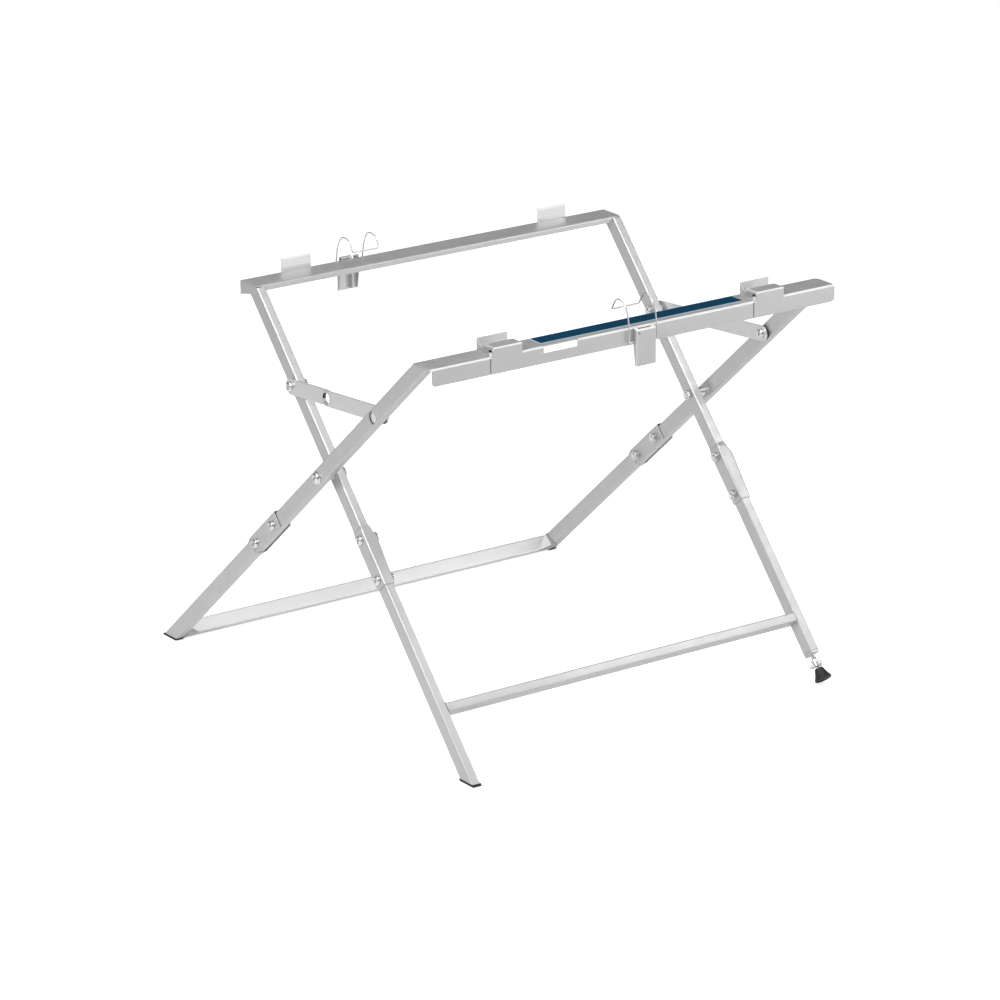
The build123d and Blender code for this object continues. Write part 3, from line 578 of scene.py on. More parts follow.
def add_piece(node, form, bm, *materials):
    """Turn a solid into a piece that rides with its node's body and stands for the node."""
    name = f"{node}_{form}"
    bmesh.ops.recalc_face_normals(bm, faces=bm.faces)
    bmesh.ops.scale(bm, vec=(MM, MM, MM), verts=bm.verts)
    mesh = bpy.data.meshes.new(name)
    bm.to_mesh(mesh)
    bm.free()
    for polygon in mesh.polygons:
        polygon.use_smooth = True
    mesh.set_sharp_from_angle(angle=radians(50))
    for material in materials or (SLOT_MATERIAL[SLOT_OF[node]],):
        mesh.materials.append(material)
    piece = bpy.data.objects.new(name, mesh)
    bpy.context.scene.collection.objects.link(piece)
    even = piece.modifiers.new("even_shading", "WEIGHTED_NORMAL")
    even.keep_sharp = True
    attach(piece, BODY_OF[node])
    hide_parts(node)


# Rails
RAIL_SHEET, BRACKET_SHEET = 2, 1.5
RAIL_BEND, REAR_BEND = 2.6, 1.6
HIDDEN_FLANGE, FRONT_FLANGE, BACK_LIP = 12, 24.8, 8.6
front_low, front_high = mm_box("front_rail")
back_low, back_high = mm_box("back_rail")
FRONT_EDGE, FRONT_REAR_EDGE = front_low.y, front_high.y
BACK_EDGE, BACK_REAR_EDGE = back_low.y, back_high.y
SLITS, SLIT_WIDTH, SLIT_HOLE = (-253, 204), 1.7, 1.9
NOTCH, NOTCH_EAR = (-162.5, -104), 1.3


def rail_path(edge, rear_edge, flange):
    """Side view of a rail from its hidden rear flange over the top to the front flange."""
    corners = [(rear_edge, RAIL_TOP - HIDDEN_FLANGE), (rear_edge, RAIL_TOP)]
    corners += [(edge, RAIL_TOP), (edge, RAIL_TOP - flange)]
    return Fold(corners, (REAR_BEND, RAIL_BEND))


def keyhole(x, bottom, top):
    """Slit up from the flange's lower edge that ends in a small round relief hole."""
    centre = x + SLIT_WIDTH / 2
    points = [(x + SLIT_WIDTH, bottom)]
    for k in range(15):
        angle = radians(66 - 312 * k / 14)
        points.append((centre + SLIT_HOLE * cos(angle), top + SLIT_HOLE * sin(angle)))
    points.append((x, bottom))
    return points


def front_rail():
    top_front = HIDDEN_FLANGE + FRONT_REAR_EDGE - FRONT_EDGE
    bottom = top_front + FRONT_FLANGE
    inner, left = FRONT_HALF - TUBE_WIDTH, 3.5 - FRONT_HALF
    corners = [(-inner, 0), (inner - 8, 0), (inner - 8, HIDDEN_FLANGE)]
    corners += [(FRONT_HALF, HIDDEN_FLANGE), (FRONT_HALF, bottom)]
    radii = [2, 4, 0, 9, 5.5]
    for x in sorted(SLITS, reverse=True):
        slit = keyhole(x, bottom, top_front + 2.8)
        corners += slit
        radii += [0] * len(slit)
    corners += [(left, bottom), (left, top_front + 2.4), (-FRONT_HALF, top_front + 0.6)]
    corners += [(-FRONT_HALF, HIDDEN_FLANGE), (-inner, HIDDEN_FLANGE)]
    radii += [5.5, 1, 1, 2, 0]
    x0, x1 = NOTCH
    s0, s1 = top_front - 3, top_front + 10.5
    step = s0 + 2.4
    notch = [(x0, s0), (x0 - NOTCH_EAR, s0), (x0 - NOTCH_EAR, step), (x0, step), (x0, s1)]
    notch += [(x1, s1), (x1, step), (x1 + NOTCH_EAR, step), (x1 + NOTCH_EAR, s0), (x1, s0)]
    outlines = [rounded(corners, radii), rounded(notch, [0, 1.1, 1.1, 0, 1.2, 1.2, 0, 1.1, 1.1, 0])]
    sheet = folded(outlines, rail_path(FRONT_EDGE, FRONT_REAR_EDGE, FRONT_FLANGE), RAIL_SHEET, 0.25)
    near = FRONT_EDGE + RAIL_SHEET
    strips = [
        box(x - 4, x + SLIT_WIDTH + 4, near, near + 1.4, RAIL_TOP - 24, RAIL_TOP - 3.4) for x in SLITS
    ]
    # The paler faces round the front bend are a painted highlight.
    return joined(painted_highlight_edge(sheet, FRONT_EDGE, RAIL_TOP, RAIL_BEND), *strips)


def back_rail():
    """Rail whose lip ends at the legs, with a plate that closes each end behind the leg."""
    top_front = HIDDEN_FLANGE + BACK_REAR_EDGE - BACK_EDGE
    bottom = top_front + BACK_LIP
    lip = BACK_HALF - TUBE_WIDTH
    corners = [(-BACK_HALF, 0), (BACK_HALF, 0), (BACK_HALF, top_front + 0.5), (lip, top_front + 2.4)]
    corners += [(lip, bottom), (-lip, bottom), (-lip, top_front + 2.4), (-BACK_HALF, top_front + 0.5)]
    outline = rounded(corners, [1.5, 1.5, 0.6, 1, 2, 2, 1, 0.6])
    parts = [folded([outline], rail_path(BACK_EDGE, BACK_REAR_EDGE, BACK_LIP), RAIL_SHEET, 0.25)]
    heights = RAIL_TOP - 2, RAIL_TOP - 19
    rear_top, rear_bottom = (BACK.point(0, HALF, BACK.along_at(z, HALF)).y for z in heights)
    plate = [(rear_top - 6, RAIL_TOP - 2), (rear_bottom - 6, RAIL_TOP - 13)]
    plate += [(BACK_REAR_EDGE, RAIL_TOP - 21), (BACK_REAR_EDGE, RAIL_TOP - 2)]
    for x in (-BACK_HALF + 0.02, BACK_HALF - 2.02):
        parts.append(slab([rounded(plate, [0, 0.6, 0.6, 0.6])], x, x + 2, across_x))
    return joined(*parts)


add_piece("front_rail", "sheet", front_rail(), PAINT, PALE_AND_PAINTED_LIGHT_PAINT)
add_piece("back_rail", "sheet", back_rail())


# Label
def label():
    """Film on the rail's top with a narrow pale border at its left and front."""
    low, high = mm_box("rail_label")
    border = 2.2
    bm = slab([rectangle(low.x, high.x, low.y, high.y - 2.8, 0.8)], RAIL_TOP, RAIL_TOP + 0.3, as_drawn, 0.1)
    score(bm, (low.x + border, 0, 0), (1, 0, 0))
    score(bm, (0, low.y + border, 0), (0, 1, 0))
    return mark(bm, 1, lambda middle, _: middle.x < low.x + border or middle.y < low.y + border)


add_piece("rail_label", "film", label(), BLUE, PALE_BLUE)


# Brackets on the rails


def rounded_front(x0, x1, z0, z1, y0, y1, corner, soft):
    """Block whose front face has a rounded left corner and soft upper and left rims."""
    profile = rounded([(x0, z0), (x1, z0), (x1, z1), (x0, z1)], [0, 0, 0, corner], 6)
    rings = []
    for k in range(5):
        angle = pi / 2 * k / 4
        inward = soft * (1 - sin(angle))
        ring = []
        for x, z in inset(profile, inward):
            x = x1 if x > x1 - inward - 0.001 else x
            z = z0 if z < z0 + inward + 0.001 else z
            ring.append(Vector((x, y0 + soft * (1 - cos(angle)), z)))
        rings.append(ring)
    rings.append([Vector((x, y1, z)) for x, z in profile])
    return loft(rings)


BLOCK_WIDTH, BLOCK_DEPTH, BLOCK_RISE, BLOCK_SKIRT = 50.8, 22, 12.5, 3.4
LIP_WIDTH, LIP_RISE = 51.5, 17
OVERRUN = 9


def saw_bracket(start, lip_start):
    """Raised hollow block, base sheet, lip with a side web, and a tongue and a dark stub at its left."""
    sheet = BRACKET_SHEET
    end, lip_end = start + BLOCK_WIDTH, lip_start + LIP_WIDTH
    back, top = FRONT_EDGE + BLOCK_DEPTH, RAIL_TOP + BLOCK_RISE
    front, inside = FRONT_EDGE - 0.05, FRONT_REAR_EDGE - sheet
    shell = rounded_front(start, end, RAIL_TOP - BLOCK_SKIRT, top, front, back, 8, 1.9)
    below = RAIL_TOP - OVERRUN
    hollow = rounded_front(
        start + sheet, end + OVERRUN, below, top - sheet, front + sheet, back + OVERRUN, 4.5, 0.6
    )
    under = box(
        start - OVERRUN, end + OVERRUN, FRONT_EDGE + 2.3, back + OVERRUN, below, RAIL_TOP + 0.02
    )
    # The block's upper front edge gets a painted highlight.
    shell = painted_highlight_edge(cut(shell, hollow, under), front, top, 1.9)
    tongue = box(start - 3, start + 0.4, FRONT_EDGE + 0.6, FRONT_EDGE + 2.4, RAIL_TOP, RAIL_TOP + 6.5)
    stub_seat = (start - 0.8, FRONT_EDGE + 0.9, RAIL_TOP + 8)
    stub = turned(stub_seat, (0, 1, 0), [(0, 0.3), (0, 1.6), (4, 1.6), (4, 0.3)], 20)
    path = [(FRONT_EDGE + 2, RAIL_TOP), (FRONT_REAR_EDGE, RAIL_TOP), (FRONT_REAR_EDGE, RAIL_TOP + LIP_RISE)]
    level = FRONT_REAR_EDGE - FRONT_EDGE - 2
    outline = [(lip_start, 0), (end, 0), (end, level - 1.5), (lip_end, level + 2.5)]
    outline += [(lip_end, level + LIP_RISE), (lip_start, level + LIP_RISE)]
    base = folded([rounded(outline, [0, 1, 1, 1, 1.5, 1])], Fold(path, 2.4), sheet)
    # Painted light: the lip's inner face, turned to the front, takes the paler paint.
    mark(base, 1, lambda middle, _: abs(middle.y - inside) < 0.2 and middle.z > RAIL_TOP + 3)
    web = [(back - 1, RAIL_TOP + 0.2), (inside, RAIL_TOP + 0.2), (inside, RAIL_TOP + 16.6)]
    web += [(inside - 7.6, RAIL_TOP + 7), (back - 1, RAIL_TOP + 7)]
    side = slab([rounded(web, [0, 0, 1, 4, 0.5])], lip_start, lip_start + sheet, across_x)
    foot = RAIL_TOP + 0.3
    weld = bead([(start + 0.2, FRONT_EDGE + 4, foot), (start + 0.2, back - 1, foot)], 1.1)
    seam = bead([(lip_start, back, foot), (lip_start, FRONT_REAR_EDGE - 3, foot)], 0.9)
    return joined(shell, base, side, weld, seam, mark(tongue, 1), mark(stub, 2))


def back_tab(node):
    """Upright sheet behind the rail with a hem turned back at its top, in painted light above the rail and
    painted shade below it.
    """
    low, high = mm_box(node)
    low.x += 2.5
    high.x += 2.5
    path = Fold([(high.y, high.z), (low.y, high.z), (low.y, low.z)], 1.9)
    outline = rectangle(low.x, high.x, 0, high.y - low.y + high.z - low.z, 1.2)
    y, z = low.y + 2.1, low.z + 0.6
    foot = bead([(low.x + 3, y, z), (high.x - 3, y, z)], 0.9)
    tab = joined(folded([outline], path, BRACKET_SHEET), foot)
    level = RAIL_TOP + 5
    score(tab, (0, 0, level), (0, 0, 1))
    # Painted shade: the lower part, from just above the rail's top down, takes the darker paint.
    return mark(tab, 1, lambda middle, _: middle.z < level)


for side_name, start, lip_start in (("left", -250, -246), ("right", 208, 212.5)):
    bracket = saw_bracket(start, lip_start)
    add_piece(f"saw_bracket_{side_name}", "formed", bracket, PAINT, PALE_AND_PAINTED_LIGHT_PAINT, PLASTIC_AND_PAINTED_SHADE)
for side_name, _ in SIDES:
    node = f"back_tab_{side_name}"
    add_piece(node, "formed", back_tab(node), PALE_AND_PAINTED_LIGHT_PAINT, BAR_AND_PAINTED_LIGHT_PAINT)


def ring_piece(seat, way, length, outer, bore, soft=0.4):
    """Tube or washer with softened outer rims."""
    low, high = soft * 0.3, length - soft * 0.3
    rings = [(0, bore), (0, outer - soft), (low, outer - low), (soft, outer)]
    rings += [(length - soft, outer), (high, outer - low), (length, outer - soft), (length, bore)]
    return turned(seat, way, rings, 48, closed=True)


CLIP_WIDTH, CLIP_REACH, CLIP_DEPTH = 34, 8.6, 51.5
WIRE_RADIUS, WIRE_DROP = 1.1, 20.5

# Where each clip sits: start in X, wall of the rail, way out of it, and reach of the wire's feet
FRONT_CLIP = (mm_box("front_clip_bracket")[0].x + 1.5, FRONT_EDGE, -1, 4.2)
BACK_CLIP = (mm_box("back_clip_bracket")[0].x, BACK_REAR_EDGE, 1, 5.7)


def clip_bracket(start, wall, way, foot_reach, depth, pierced):
    """Channel on a rail's outer face, open toward the rail and below, with holes for the wire."""
    top, bottom = RAIL_TOP - 0.5, RAIL_TOP - depth

    def place(reach, z, x):
        return Vector((x, wall + way * reach, z))

    outer = [(0, top), (0, bottom + 28), (CLIP_REACH - 4, bottom), (CLIP_REACH, bottom)]
    outer += [(CLIP_REACH, top - 3)]
    outline = rounded(outer, [1.2, 6, 2, 1.2, 2.2], 5)
    shell = slab([outline], start, start + CLIP_WIDTH, place, 1.1)
    plate = CLIP_REACH - BRACKET_SHEET
    inner = [(-5, top + 5), (-5, bottom - 5), (plate, bottom - 5), (plate, top - 4.3)]
    inner += [(1.5, top - 2.1), (1.5, top + 5)]
    outline = rounded(inner, [0, 0, 0, 0.8, 0.4, 0])
    hollow = slab([outline], start + BRACKET_SHEET, start + CLIP_WIDTH - BRACKET_SHEET, place, 0)
    foot = place(foot_reach, RAIL_TOP - WIRE_DROP, start - 5)
    cutters = [hollow, turned(foot, (1, 0, 0), [(0, 1.45), (CLIP_WIDTH + 10, 1.45)], 24)]
    if not pierced:
        return cut(shell, *cutters)
    near = place(plate - 3, top - 7.4, start + 4.4)
    slot = sorted((wall + way * 2.9, wall + way * 5.1))
    cutters.append(turned(near, (0, way, 0), [(0, 1.5), (9, 1.5)], 24))
    cutters.append(box(start + 5, start + 28, *slot, top - 8, top + 4))
    bracket = cut(shell, *cutters)
    bracket.normal_update()

    # Painted light: faces turned up, and faces turned to the left and out from the rail, take the paler
    # paint.
    def painted_light_face(_, normal):
        return normal.z > 0.5 or (normal.x < -0.2 and way * normal.y > 0.2)

    return mark(bracket, 1, painted_light_face)


def back_clip_bracket():
    """Shallower channel with a rib inside, a hook over its top and a small barrel."""
    start = BACK_CLIP[0]
    rear = BACK_REAR_EDGE + CLIP_REACH
    wall = rear - BRACKET_SHEET
    channel = clip_bracket(*BACK_CLIP, CLIP_DEPTH - 3.5, False)
    # Painted light: the rear wall's inner face takes the lighter paint.
    mark(channel, 1, lambda middle, _: abs(middle.y - wall) < 0.1)
    outline = rectangle(
        BACK_REAR_EDGE + 0.6, wall + 0.3, RAIL_TOP - CLIP_DEPTH + 5, RAIL_TOP - 6, 0.4
    )
    rib = slab([outline], start + 20.5, start + 22, across_x)
    corners = [(rear, RAIL_TOP - 8), (rear, RAIL_TOP + 3), (rear - 6.4, RAIL_TOP + 3)]
    path = Fold(corners + [(rear - 6.4, RAIL_TOP - 1)], (2.2, 1.8))
    hook = folded([rectangle(start + 3.5, start + 22, 0, path.lengths[-1], 1)], path, BRACKET_SHEET)
    # Painted shade: the barrel takes the dark paint.
    barrel = ring_piece((start + 26.5, rear - 5, RAIL_TOP + 0.4), (1, 0, 0), 7, 2.6, 1.2, 0.5)
    return joined(channel, rib, hook, mark(barrel, 2))


front_bracket = clip_bracket(*FRONT_CLIP, CLIP_DEPTH + 4, True)
add_piece("front_clip_bracket", "formed", front_bracket, PAINT, PALE_AND_PAINTED_LIGHT_PAINT)
add_piece("back_clip_bracket", "formed", back_clip_bracket(), PAINT, BAR_AND_PAINTED_LIGHT_PAINT, PAINTED_SHADE_PAINT)

# Wire clips: reach from the rail's wall and rise over its top, from the feet to the bar across
FRONT_WIRE = ((3.6, -2), (0.1, 17.5), (-6.4, 31.5), (-18.4, 37.5), (-27.4, 36), (-37.9, 19))
BACK_WIRE = ((6.7, -2), (3.4, 18), (-4.0, 33.5), (-13.5, 38.6), (-28.5, 35.8), (-36.3, 20))


def wire_clip(start, wall, way, foot_reach, path, overhangs):
    """Spring wire: feet in the bracket's holes, two loops over the rail and a bar across."""
    near, far = start - overhangs[0], start + CLIP_WIDTH + overhangs[1]
    foot = (wall + way * foot_reach, RAIL_TOP - WIRE_DROP)
    loop = [(wall + way * reach, RAIL_TOP + rise) for reach, rise in path]
    points = [(start + 3, *foot), (near, *foot)] + [(near, y, z) for y, z in loop]
    points += [(far, y, z) for y, z in reversed(loop)] + [(far, *foot), (start + CLIP_WIDTH - 3, *foot)]
    radii = [3, 30, 24, 14, 12, 10, 3.2]
    return swept(filleted(points, radii + radii[::-1]), WIRE_RADIUS, 14)


front_wire = wire_clip(*FRONT_CLIP, FRONT_WIRE, (9.5, 4.2))
add_piece("front_wire_clip", "bent", front_wire)
add_piece("back_wire_clip", "bent", wire_clip(*BACK_CLIP, BACK_WIRE, (2.6, 9.5)))


# Leg tubes
TUBE_RADIUS, BORE_RADIUS = 2.3, 0.9
LOWEST = 3
RAIL_UNDERSIDE = RAIL_TOP - RAIL_SHEET
BRACE_FRONT = 0.551 * (RAIL_UNDERSIDE - PIVOT.z) / -FRONT.down.z
BRACE_BACK = 0.467 * (RAIL_UNDERSIDE - PIVOT.z) / -BACK.down.z


def tube_section(x0, x1, front=-HALF, rear=HALF, radius=TUBE_RADIUS):
    """Outer and inner outline of a tube."""
    wall = TUBE_WALL
    outer = rectangle(x0, x1, front, rear, radius)
    return outer, rectangle(x0 + wall, x1 - wall, front + wall, rear - wall, BORE_RADIUS)


def tube_rings(view, outer, inner, spec, way):
    """Rings round a tube's end, from its bore over the rim to its outside."""
    rings = []
    rim = ((inner, 0, 0.3), (inner, -0.2, 0), (outer, 0.35, 0), (outer, 0.1, 0.1), (outer, 0, 0.35))
    for loop, inward, shift in rim:
        ring = inset(loop, inward)
        rings.append([view.point(x, across, view.end(spec, across) + way * shift) for x, across in ring])
    return rings


def tube(view, x_low, top, bottom):
    """Rectangular tube with round long corners and softened ends."""
    section = tube_section(x_low, x_low + TUBE_WIDTH)
    rings = tube_rings(view, *section, top, 1) + tube_rings(view, *section, bottom, -1)[::-1]
    return loft(rings, closed=True)


def smooth(share):
    share = max(0, min(1, share))
    return share * share * (3 - 2 * share)


def front_rail_leg(side_name, side):
    """Upper tube with a wide hole over the brace's bolt, and the bolt's domed cap inside it."""
    x_low = FRONT_X[side_name]
    leg = tube(FRONT, x_low, ("level", RAIL_UNDERSIDE), ("square", 224))
    outside = FRONT.point(side * (FRONT_HALF + 3), 0, -BRACE_FRONT)
    access = turned(outside, (-side, 0, 0), [(0, 8.8), (7, 8.8)], 48)
    foot = RAIL_UNDERSIDE - 0.2
    front, rear = (FRONT.point(0, across, FRONT.along_at(foot, across)).y for across in (-HALF, HALF))
    x = (x_low + TUBE_WIDTH if side < 0 else x_low) + side * 0.3
    weld = bead([(x, front + 2, foot - 0.4), (x, rear - 2, foot - 0.4)], 1.2)
    seat = FRONT.point(side * (FRONT_HALF - TUBE_WALL - 0.2), 0, -BRACE_FRONT)
    rings = [(3.6, 0.4), (3.6, 8.2), (3.2, 8.6), (1.5, 8.6), (1.1, 8.2), (1.1, 7.2), (1.3, 6.6)]
    cap = turned(seat, (-side, 0, 0), rings + [(0.5, 4.6), (0.1, 2.4), (0, 0.4)], 40)
    return joined(cut(leg, access), weld, mark(cap, 1))


def rear_foot_leg(side_name, side):
    """Lower tube, formed at its top into a socket that is open to the front."""
    x_low = FRONT_X[side_name]
    x_high = x_low + TUBE_WIDTH
    left, right, front, rear = x_low - 1.5, x_high + 3, -HALF - 1, HALF + 3
    outers, inners = [], []
    for along in (223.4, 224.5, 227, 230, 233, 236, 240):
        grow = 1 - smooth((along - 225) / 15)
        outer, inner = tube_section(
            x_low - 1.5 * grow, x_high + 3 * grow, -HALF - 1.0 * grow, HALF + 3 * grow,
            TUBE_RADIUS + 0.5 * grow,
        )
        outers.append(FRONT.ring(outer, along))
        inners.append(FRONT.ring(inner, along))
    foot = tube_rings(FRONT, *tube_section(x_low, x_high), ("level", LOWEST), -1)[::-1]
    lower = loft(outers + foot + inners[::-1], closed=True)
    section = [(left, front), (x_low - 0.7, front), (x_low - 0.7, rear - 0.9), (right - 1.4, rear - 0.9)]
    section += [(right - 1.4, front), (right, front), (right, rear), (left, rear)]
    outline = rounded(section, [0.3, 0.3, 2.0, 2.0, 0.5, 0.5, 2.8, 2.8])
    return joined(lower, slab([outline], 136.5, 225, FRONT.point, 0.3))


SOCKET_REACH, SOCKET_BEND, SOCKET_SLOPE = 6, 109, 4 / 72


def back_socket_flare(along):
    """How far the socket's inner wall stands out from the tube."""
    if along < SOCKET_BEND:
        return 1.5 + 4.5 * smooth((along - 94) / 15)
    return SOCKET_REACH - (along - SOCKET_BEND) * SOCKET_SLOPE


def back_rail_leg(side_name, side):
    """Upper tube that flares at its lower end into a socket open to the rear."""
    x_low = BACK_X[side_name]
    x_high = x_low + TUBE_WIDTH
    section = tube_section(x_low, x_high)
    top = tube_rings(BACK, *section, ("level", RAIL_UNDERSIDE), 1)
    outers, inners = [], []
    for along in (86, 88, 90, 92, 94, 96.5):
        grow = smooth((along - 86) / 9)
        outer = rectangle(x_low - 1.5 * grow, x_high + 1.7 * grow, -HALF - 1.5 * grow, HALF, TUBE_RADIUS)
        outers.append(BACK.ring(outer, along))
        inners.append(BACK.ring(section[1], along))
    upper = loft(top + outers + inners[::-1], closed=True)
    rings = []
    left, front = x_low - 1.5, -HALF - 1.5
    stations = (95.5, 98, 100, 102, 104, 106, 109, 115, 130, 150, 170, 180.7)
    for along, inward in [(95.2, 0.3)] + [(along, 0) for along in stations] + [(181, 0.25)]:
        out = x_high + back_socket_flare(along)
        section = [(left, HALF), (left, front), (out, front), (out, HALF), (out - 1.2, HALF)]
        section += [(out - 1.2, -HALF - 0.7), (x_low - 0.6, -HALF - 0.7), (x_low - 0.6, HALF)]
        loop = inset(rounded(section, [0.4, 2.8, 2.8, 0.4, 0.4, 2.0, 2.0, 0.3]), inward)
        rings.append(BACK.ring(loop, along))
    return joined(upper, loft(rings))


for side_name, side in SIDES:
    for name, make_leg, materials in (
        ("front_rail_leg", front_rail_leg, (PAINT, PALE_AND_PAINTED_LIGHT_PAINT)),
        ("rear_foot_leg", rear_foot_leg, ()),
        ("back_rail_leg", back_rail_leg, ()),
    ):
        add_piece(f"{name}_{side_name}", "tube", make_leg(side_name, side), *materials)


# Leveller and feet
RUBBER_BOTTOM = (PIVOT.z - 13 * -BACK.down.y) / -BACK.down.z
LEG_END = RUBBER_BOTTOM - 44.7
PLUG_END = LEG_END + 4.7
NUT_START = PLUG_END + 8.3
RUBBER_TOP, RIM_TOP = RUBBER_BOTTOM - 17.7, RUBBER_BOTTOM - 3
LEVELLER_X = BACK_HALF - TUBE_WIDTH / 2
LEVELLER = PIVOT + Vector((LEVELLER_X, 0, 0))
for side_name, end in (("left", ("level", LOWEST)), ("right", ("square", LEG_END))):
    leg = tube(BACK, BACK_X[side_name], ("square", 96), end)
    add_piece(f"front_foot_leg_{side_name}", "tube", leg)


def along_leveller(a, b, distance):
    return BACK.point(LEVELLER_X + a, -b, distance)


def leg_end_plug():
    """Cap that closes the leg's end, its core inside the tube, and the stud's hole through both."""
    x_low, wall = BACK_X["right"], TUBE_WALL
    x_high = x_low + TUBE_WIDTH
    outer = rectangle(x_low, x_high, -HALF, HALF, TUBE_RADIUS)
    inner = rectangle(x_low + wall, x_high - wall, -HALF + wall, HALF - wall, 1)
    cap = slab([outer, round_hole(LEVELLER_X, 0, 4.1)], LEG_END, PLUG_END, BACK.point, 0.9)
    core = slab([inner, round_hole(LEVELLER_X, 0, 5)], LEG_END - 16, LEG_END, BACK.point, 0.3)
    return joined(cap, core)


def levelling_stud():
    start, stop = LEG_END - 20, RUBBER_TOP
    rings = [(start, 2.9)] + threaded(start + 0.7, stop - 1.4, 4) + [(stop - 1.2, 3.9), (stop, 3.9)]
    return turned(LEVELLER, BACK.down, rings, 24)


def lock_nut():
    """Threaded hub with three rounded wings."""
    start, end = NUT_START, NUT_START + 11
    rings = [(start, 4.6), (start, 5.9), (start + 0.6, 6.5), (end - 0.6, 6.5), (end, 5.9)]
    rings += [(end, 4.6), (end - 0.5, 4.1), (start + 0.5, 4.1)]
    parts = [turned(LEVELLER, BACK.down, rings, 36, closed=True)]
    for turn in (90, 210, 330):
        one = Vector((cos(radians(turn)), sin(radians(turn))))
        two = Vector((-one.y, one.x))
        tip = []
        for k in range(13):
            angle = -pi / 2 + pi * k / 12
            tip.append(one * (9.4 + 2.4 * cos(angle)) + two * 2.4 * sin(angle))
        outline = [one * 5 - two * 3.2, *tip, one * 5 + two * 3.2]
        wing = [tuple(point) for point in outline]
        parts.append(slab([wing], end - 8, end, along_leveller, 0.9))
    return joined(*parts)


def rubber_foot():
    """Moulded foot with eight shallow flutes above a round rim."""
    height = RIM_TOP - RUBBER_TOP
    rings = [(RUBBER_TOP, 5.2), (RUBBER_TOP, 6.3), (RUBBER_TOP + 0.5, 6.9)]
    for k in range(1, 11):
        share = k / 11
        body = 7 + 5.4 * (share ** 1.15)
        depth = 0.9 * sin(pi * min(share * 1.1, 1))

        def reach(angle, body=body, depth=depth):
            return body - depth * (0.5 + 0.5 * cos(8 * angle)) ** 0.6

        rings.append((RUBBER_TOP + 0.5 + (height - 0.7) * share, reach))
    rings += [(RIM_TOP - 0.1, 12.5), (RIM_TOP + 0.3, 12.95), (RIM_TOP + 0.9, 13)]
    rings += [(RUBBER_BOTTOM - 0.8, 13), (RUBBER_BOTTOM - 0.2, 12.8), (RUBBER_BOTTOM, 12.3)]
    return turned(LEVELLER, BACK.down, rings, 64)


add_piece("leg_end_plug", "moulded", leg_end_plug(), PAINT)
add_piece("levelling_stud", "threaded", levelling_stud())
add_piece("levelling_lock_nut", "winged", lock_nut())
add_piece("levelling_rubber_foot", "moulded", rubber_foot())


def foot_pad(view, x0, x1):
    """Rubber pad under a level-cut leg, with a bead round it, and the plug up inside the tube."""
    reach = HALF + 1
    pad, plug = [], []
    profile = ((0, 0.9), (0.3, 0.25), (0.8, 0), (1.9, 0), (2.2, 0.3), (2.4, 0.1), (2.8, 0.2), (3, 0.6))
    for height, inward in profile:
        ends = [view.point(0, a, view.along_at(height, a)).y for a in (-reach, reach)]
        loop = inset(rectangle(x0, x1, min(ends), max(ends), 2.4), inward)
        pad.append([Vector((x, y, height)) for x, y in loop])
    middle, depth = (x0 + x1) / 2, HALF - TUBE_WALL - 0.1
    for height, inward in ((LOWEST, 0), (15.5, 0), (17, 0.8)):
        loop = inset(rectangle(middle - 5.4, middle + 5.4, -depth, depth, 0.8), inward)
        plug.append([view.point(x, a, view.along_at(height, a)) for x, a in loop])
    return joined(loft(pad), loft(plug))


for node, view in (("rear_foot_pad_left", FRONT), ("rear_foot_pad_right", FRONT), ("front_foot_pad", BACK)):
    low, high = mm_box(node)
    add_piece(node, "moulded", foot_pad(view, low.x, high.x))


# Bars between the legs
BAR_HEIGHT, BAR_FOOT = 7.66, 8


def ends_welded(view, loop, half, radius):
    """Weld beads round a bar's ends, on the sides that show."""
    beads = []
    for x in (-half, half):
        way = 1 if x > 0 else -1
        points = [view.point(x - way * 0.4, across, along) for along, across in loop]
        beads.append(bead(points, radius))
    return beads


def front_foot_bar():
    top = BACK.along_at(96.2, -HALF)
    half = BACK_HALF - TUBE_WIDTH
    outer, inner = tube_section(top, top + TUBE_WIDTH)
    rings = []
    for x, order in ((-half, (inner, outer)), (half, (outer, inner))):
        rings += [[BACK.point(x, across, along) for along, across in loop] for loop in order]
    rim = [(top + 13, -HALF), (top + 0.8, -HALF), (top, -HALF + 1), (top, HALF - 1)]
    return joined(loft(rings, closed=True), *ends_welded(BACK, rim, half, 0.8))


def rear_floor_bar():
    """Channel open downward along the leg, welded between the legs."""
    half = mm_box("rear_floor_bar")[1].x
    top = FRONT.along_at(BAR_HEIGHT, -HALF)
    foot = top + BAR_FOOT
    section = [(top, HALF), (top, -HALF), (foot, -HALF), (foot, -HALF + 2), (top + 2, -HALF + 2)]
    section += [(top + 2, HALF - 2), (foot, HALF - 2), (foot, HALF)]
    outline = rounded(section, [2.4, 2.4, 0.4, 0.4, 0.6, 0.6, 0.4, 0.4])

    def place(along, across, x):
        return FRONT.point(x, across, along)

    rim = [(top + 7, -HALF), (top + 0.8, -HALF), (top, -HALF + 1), (top, HALF - 1)]
    return joined(slab([outline], -half, half, place, 0), *ends_welded(FRONT, rim, half, 0.8))


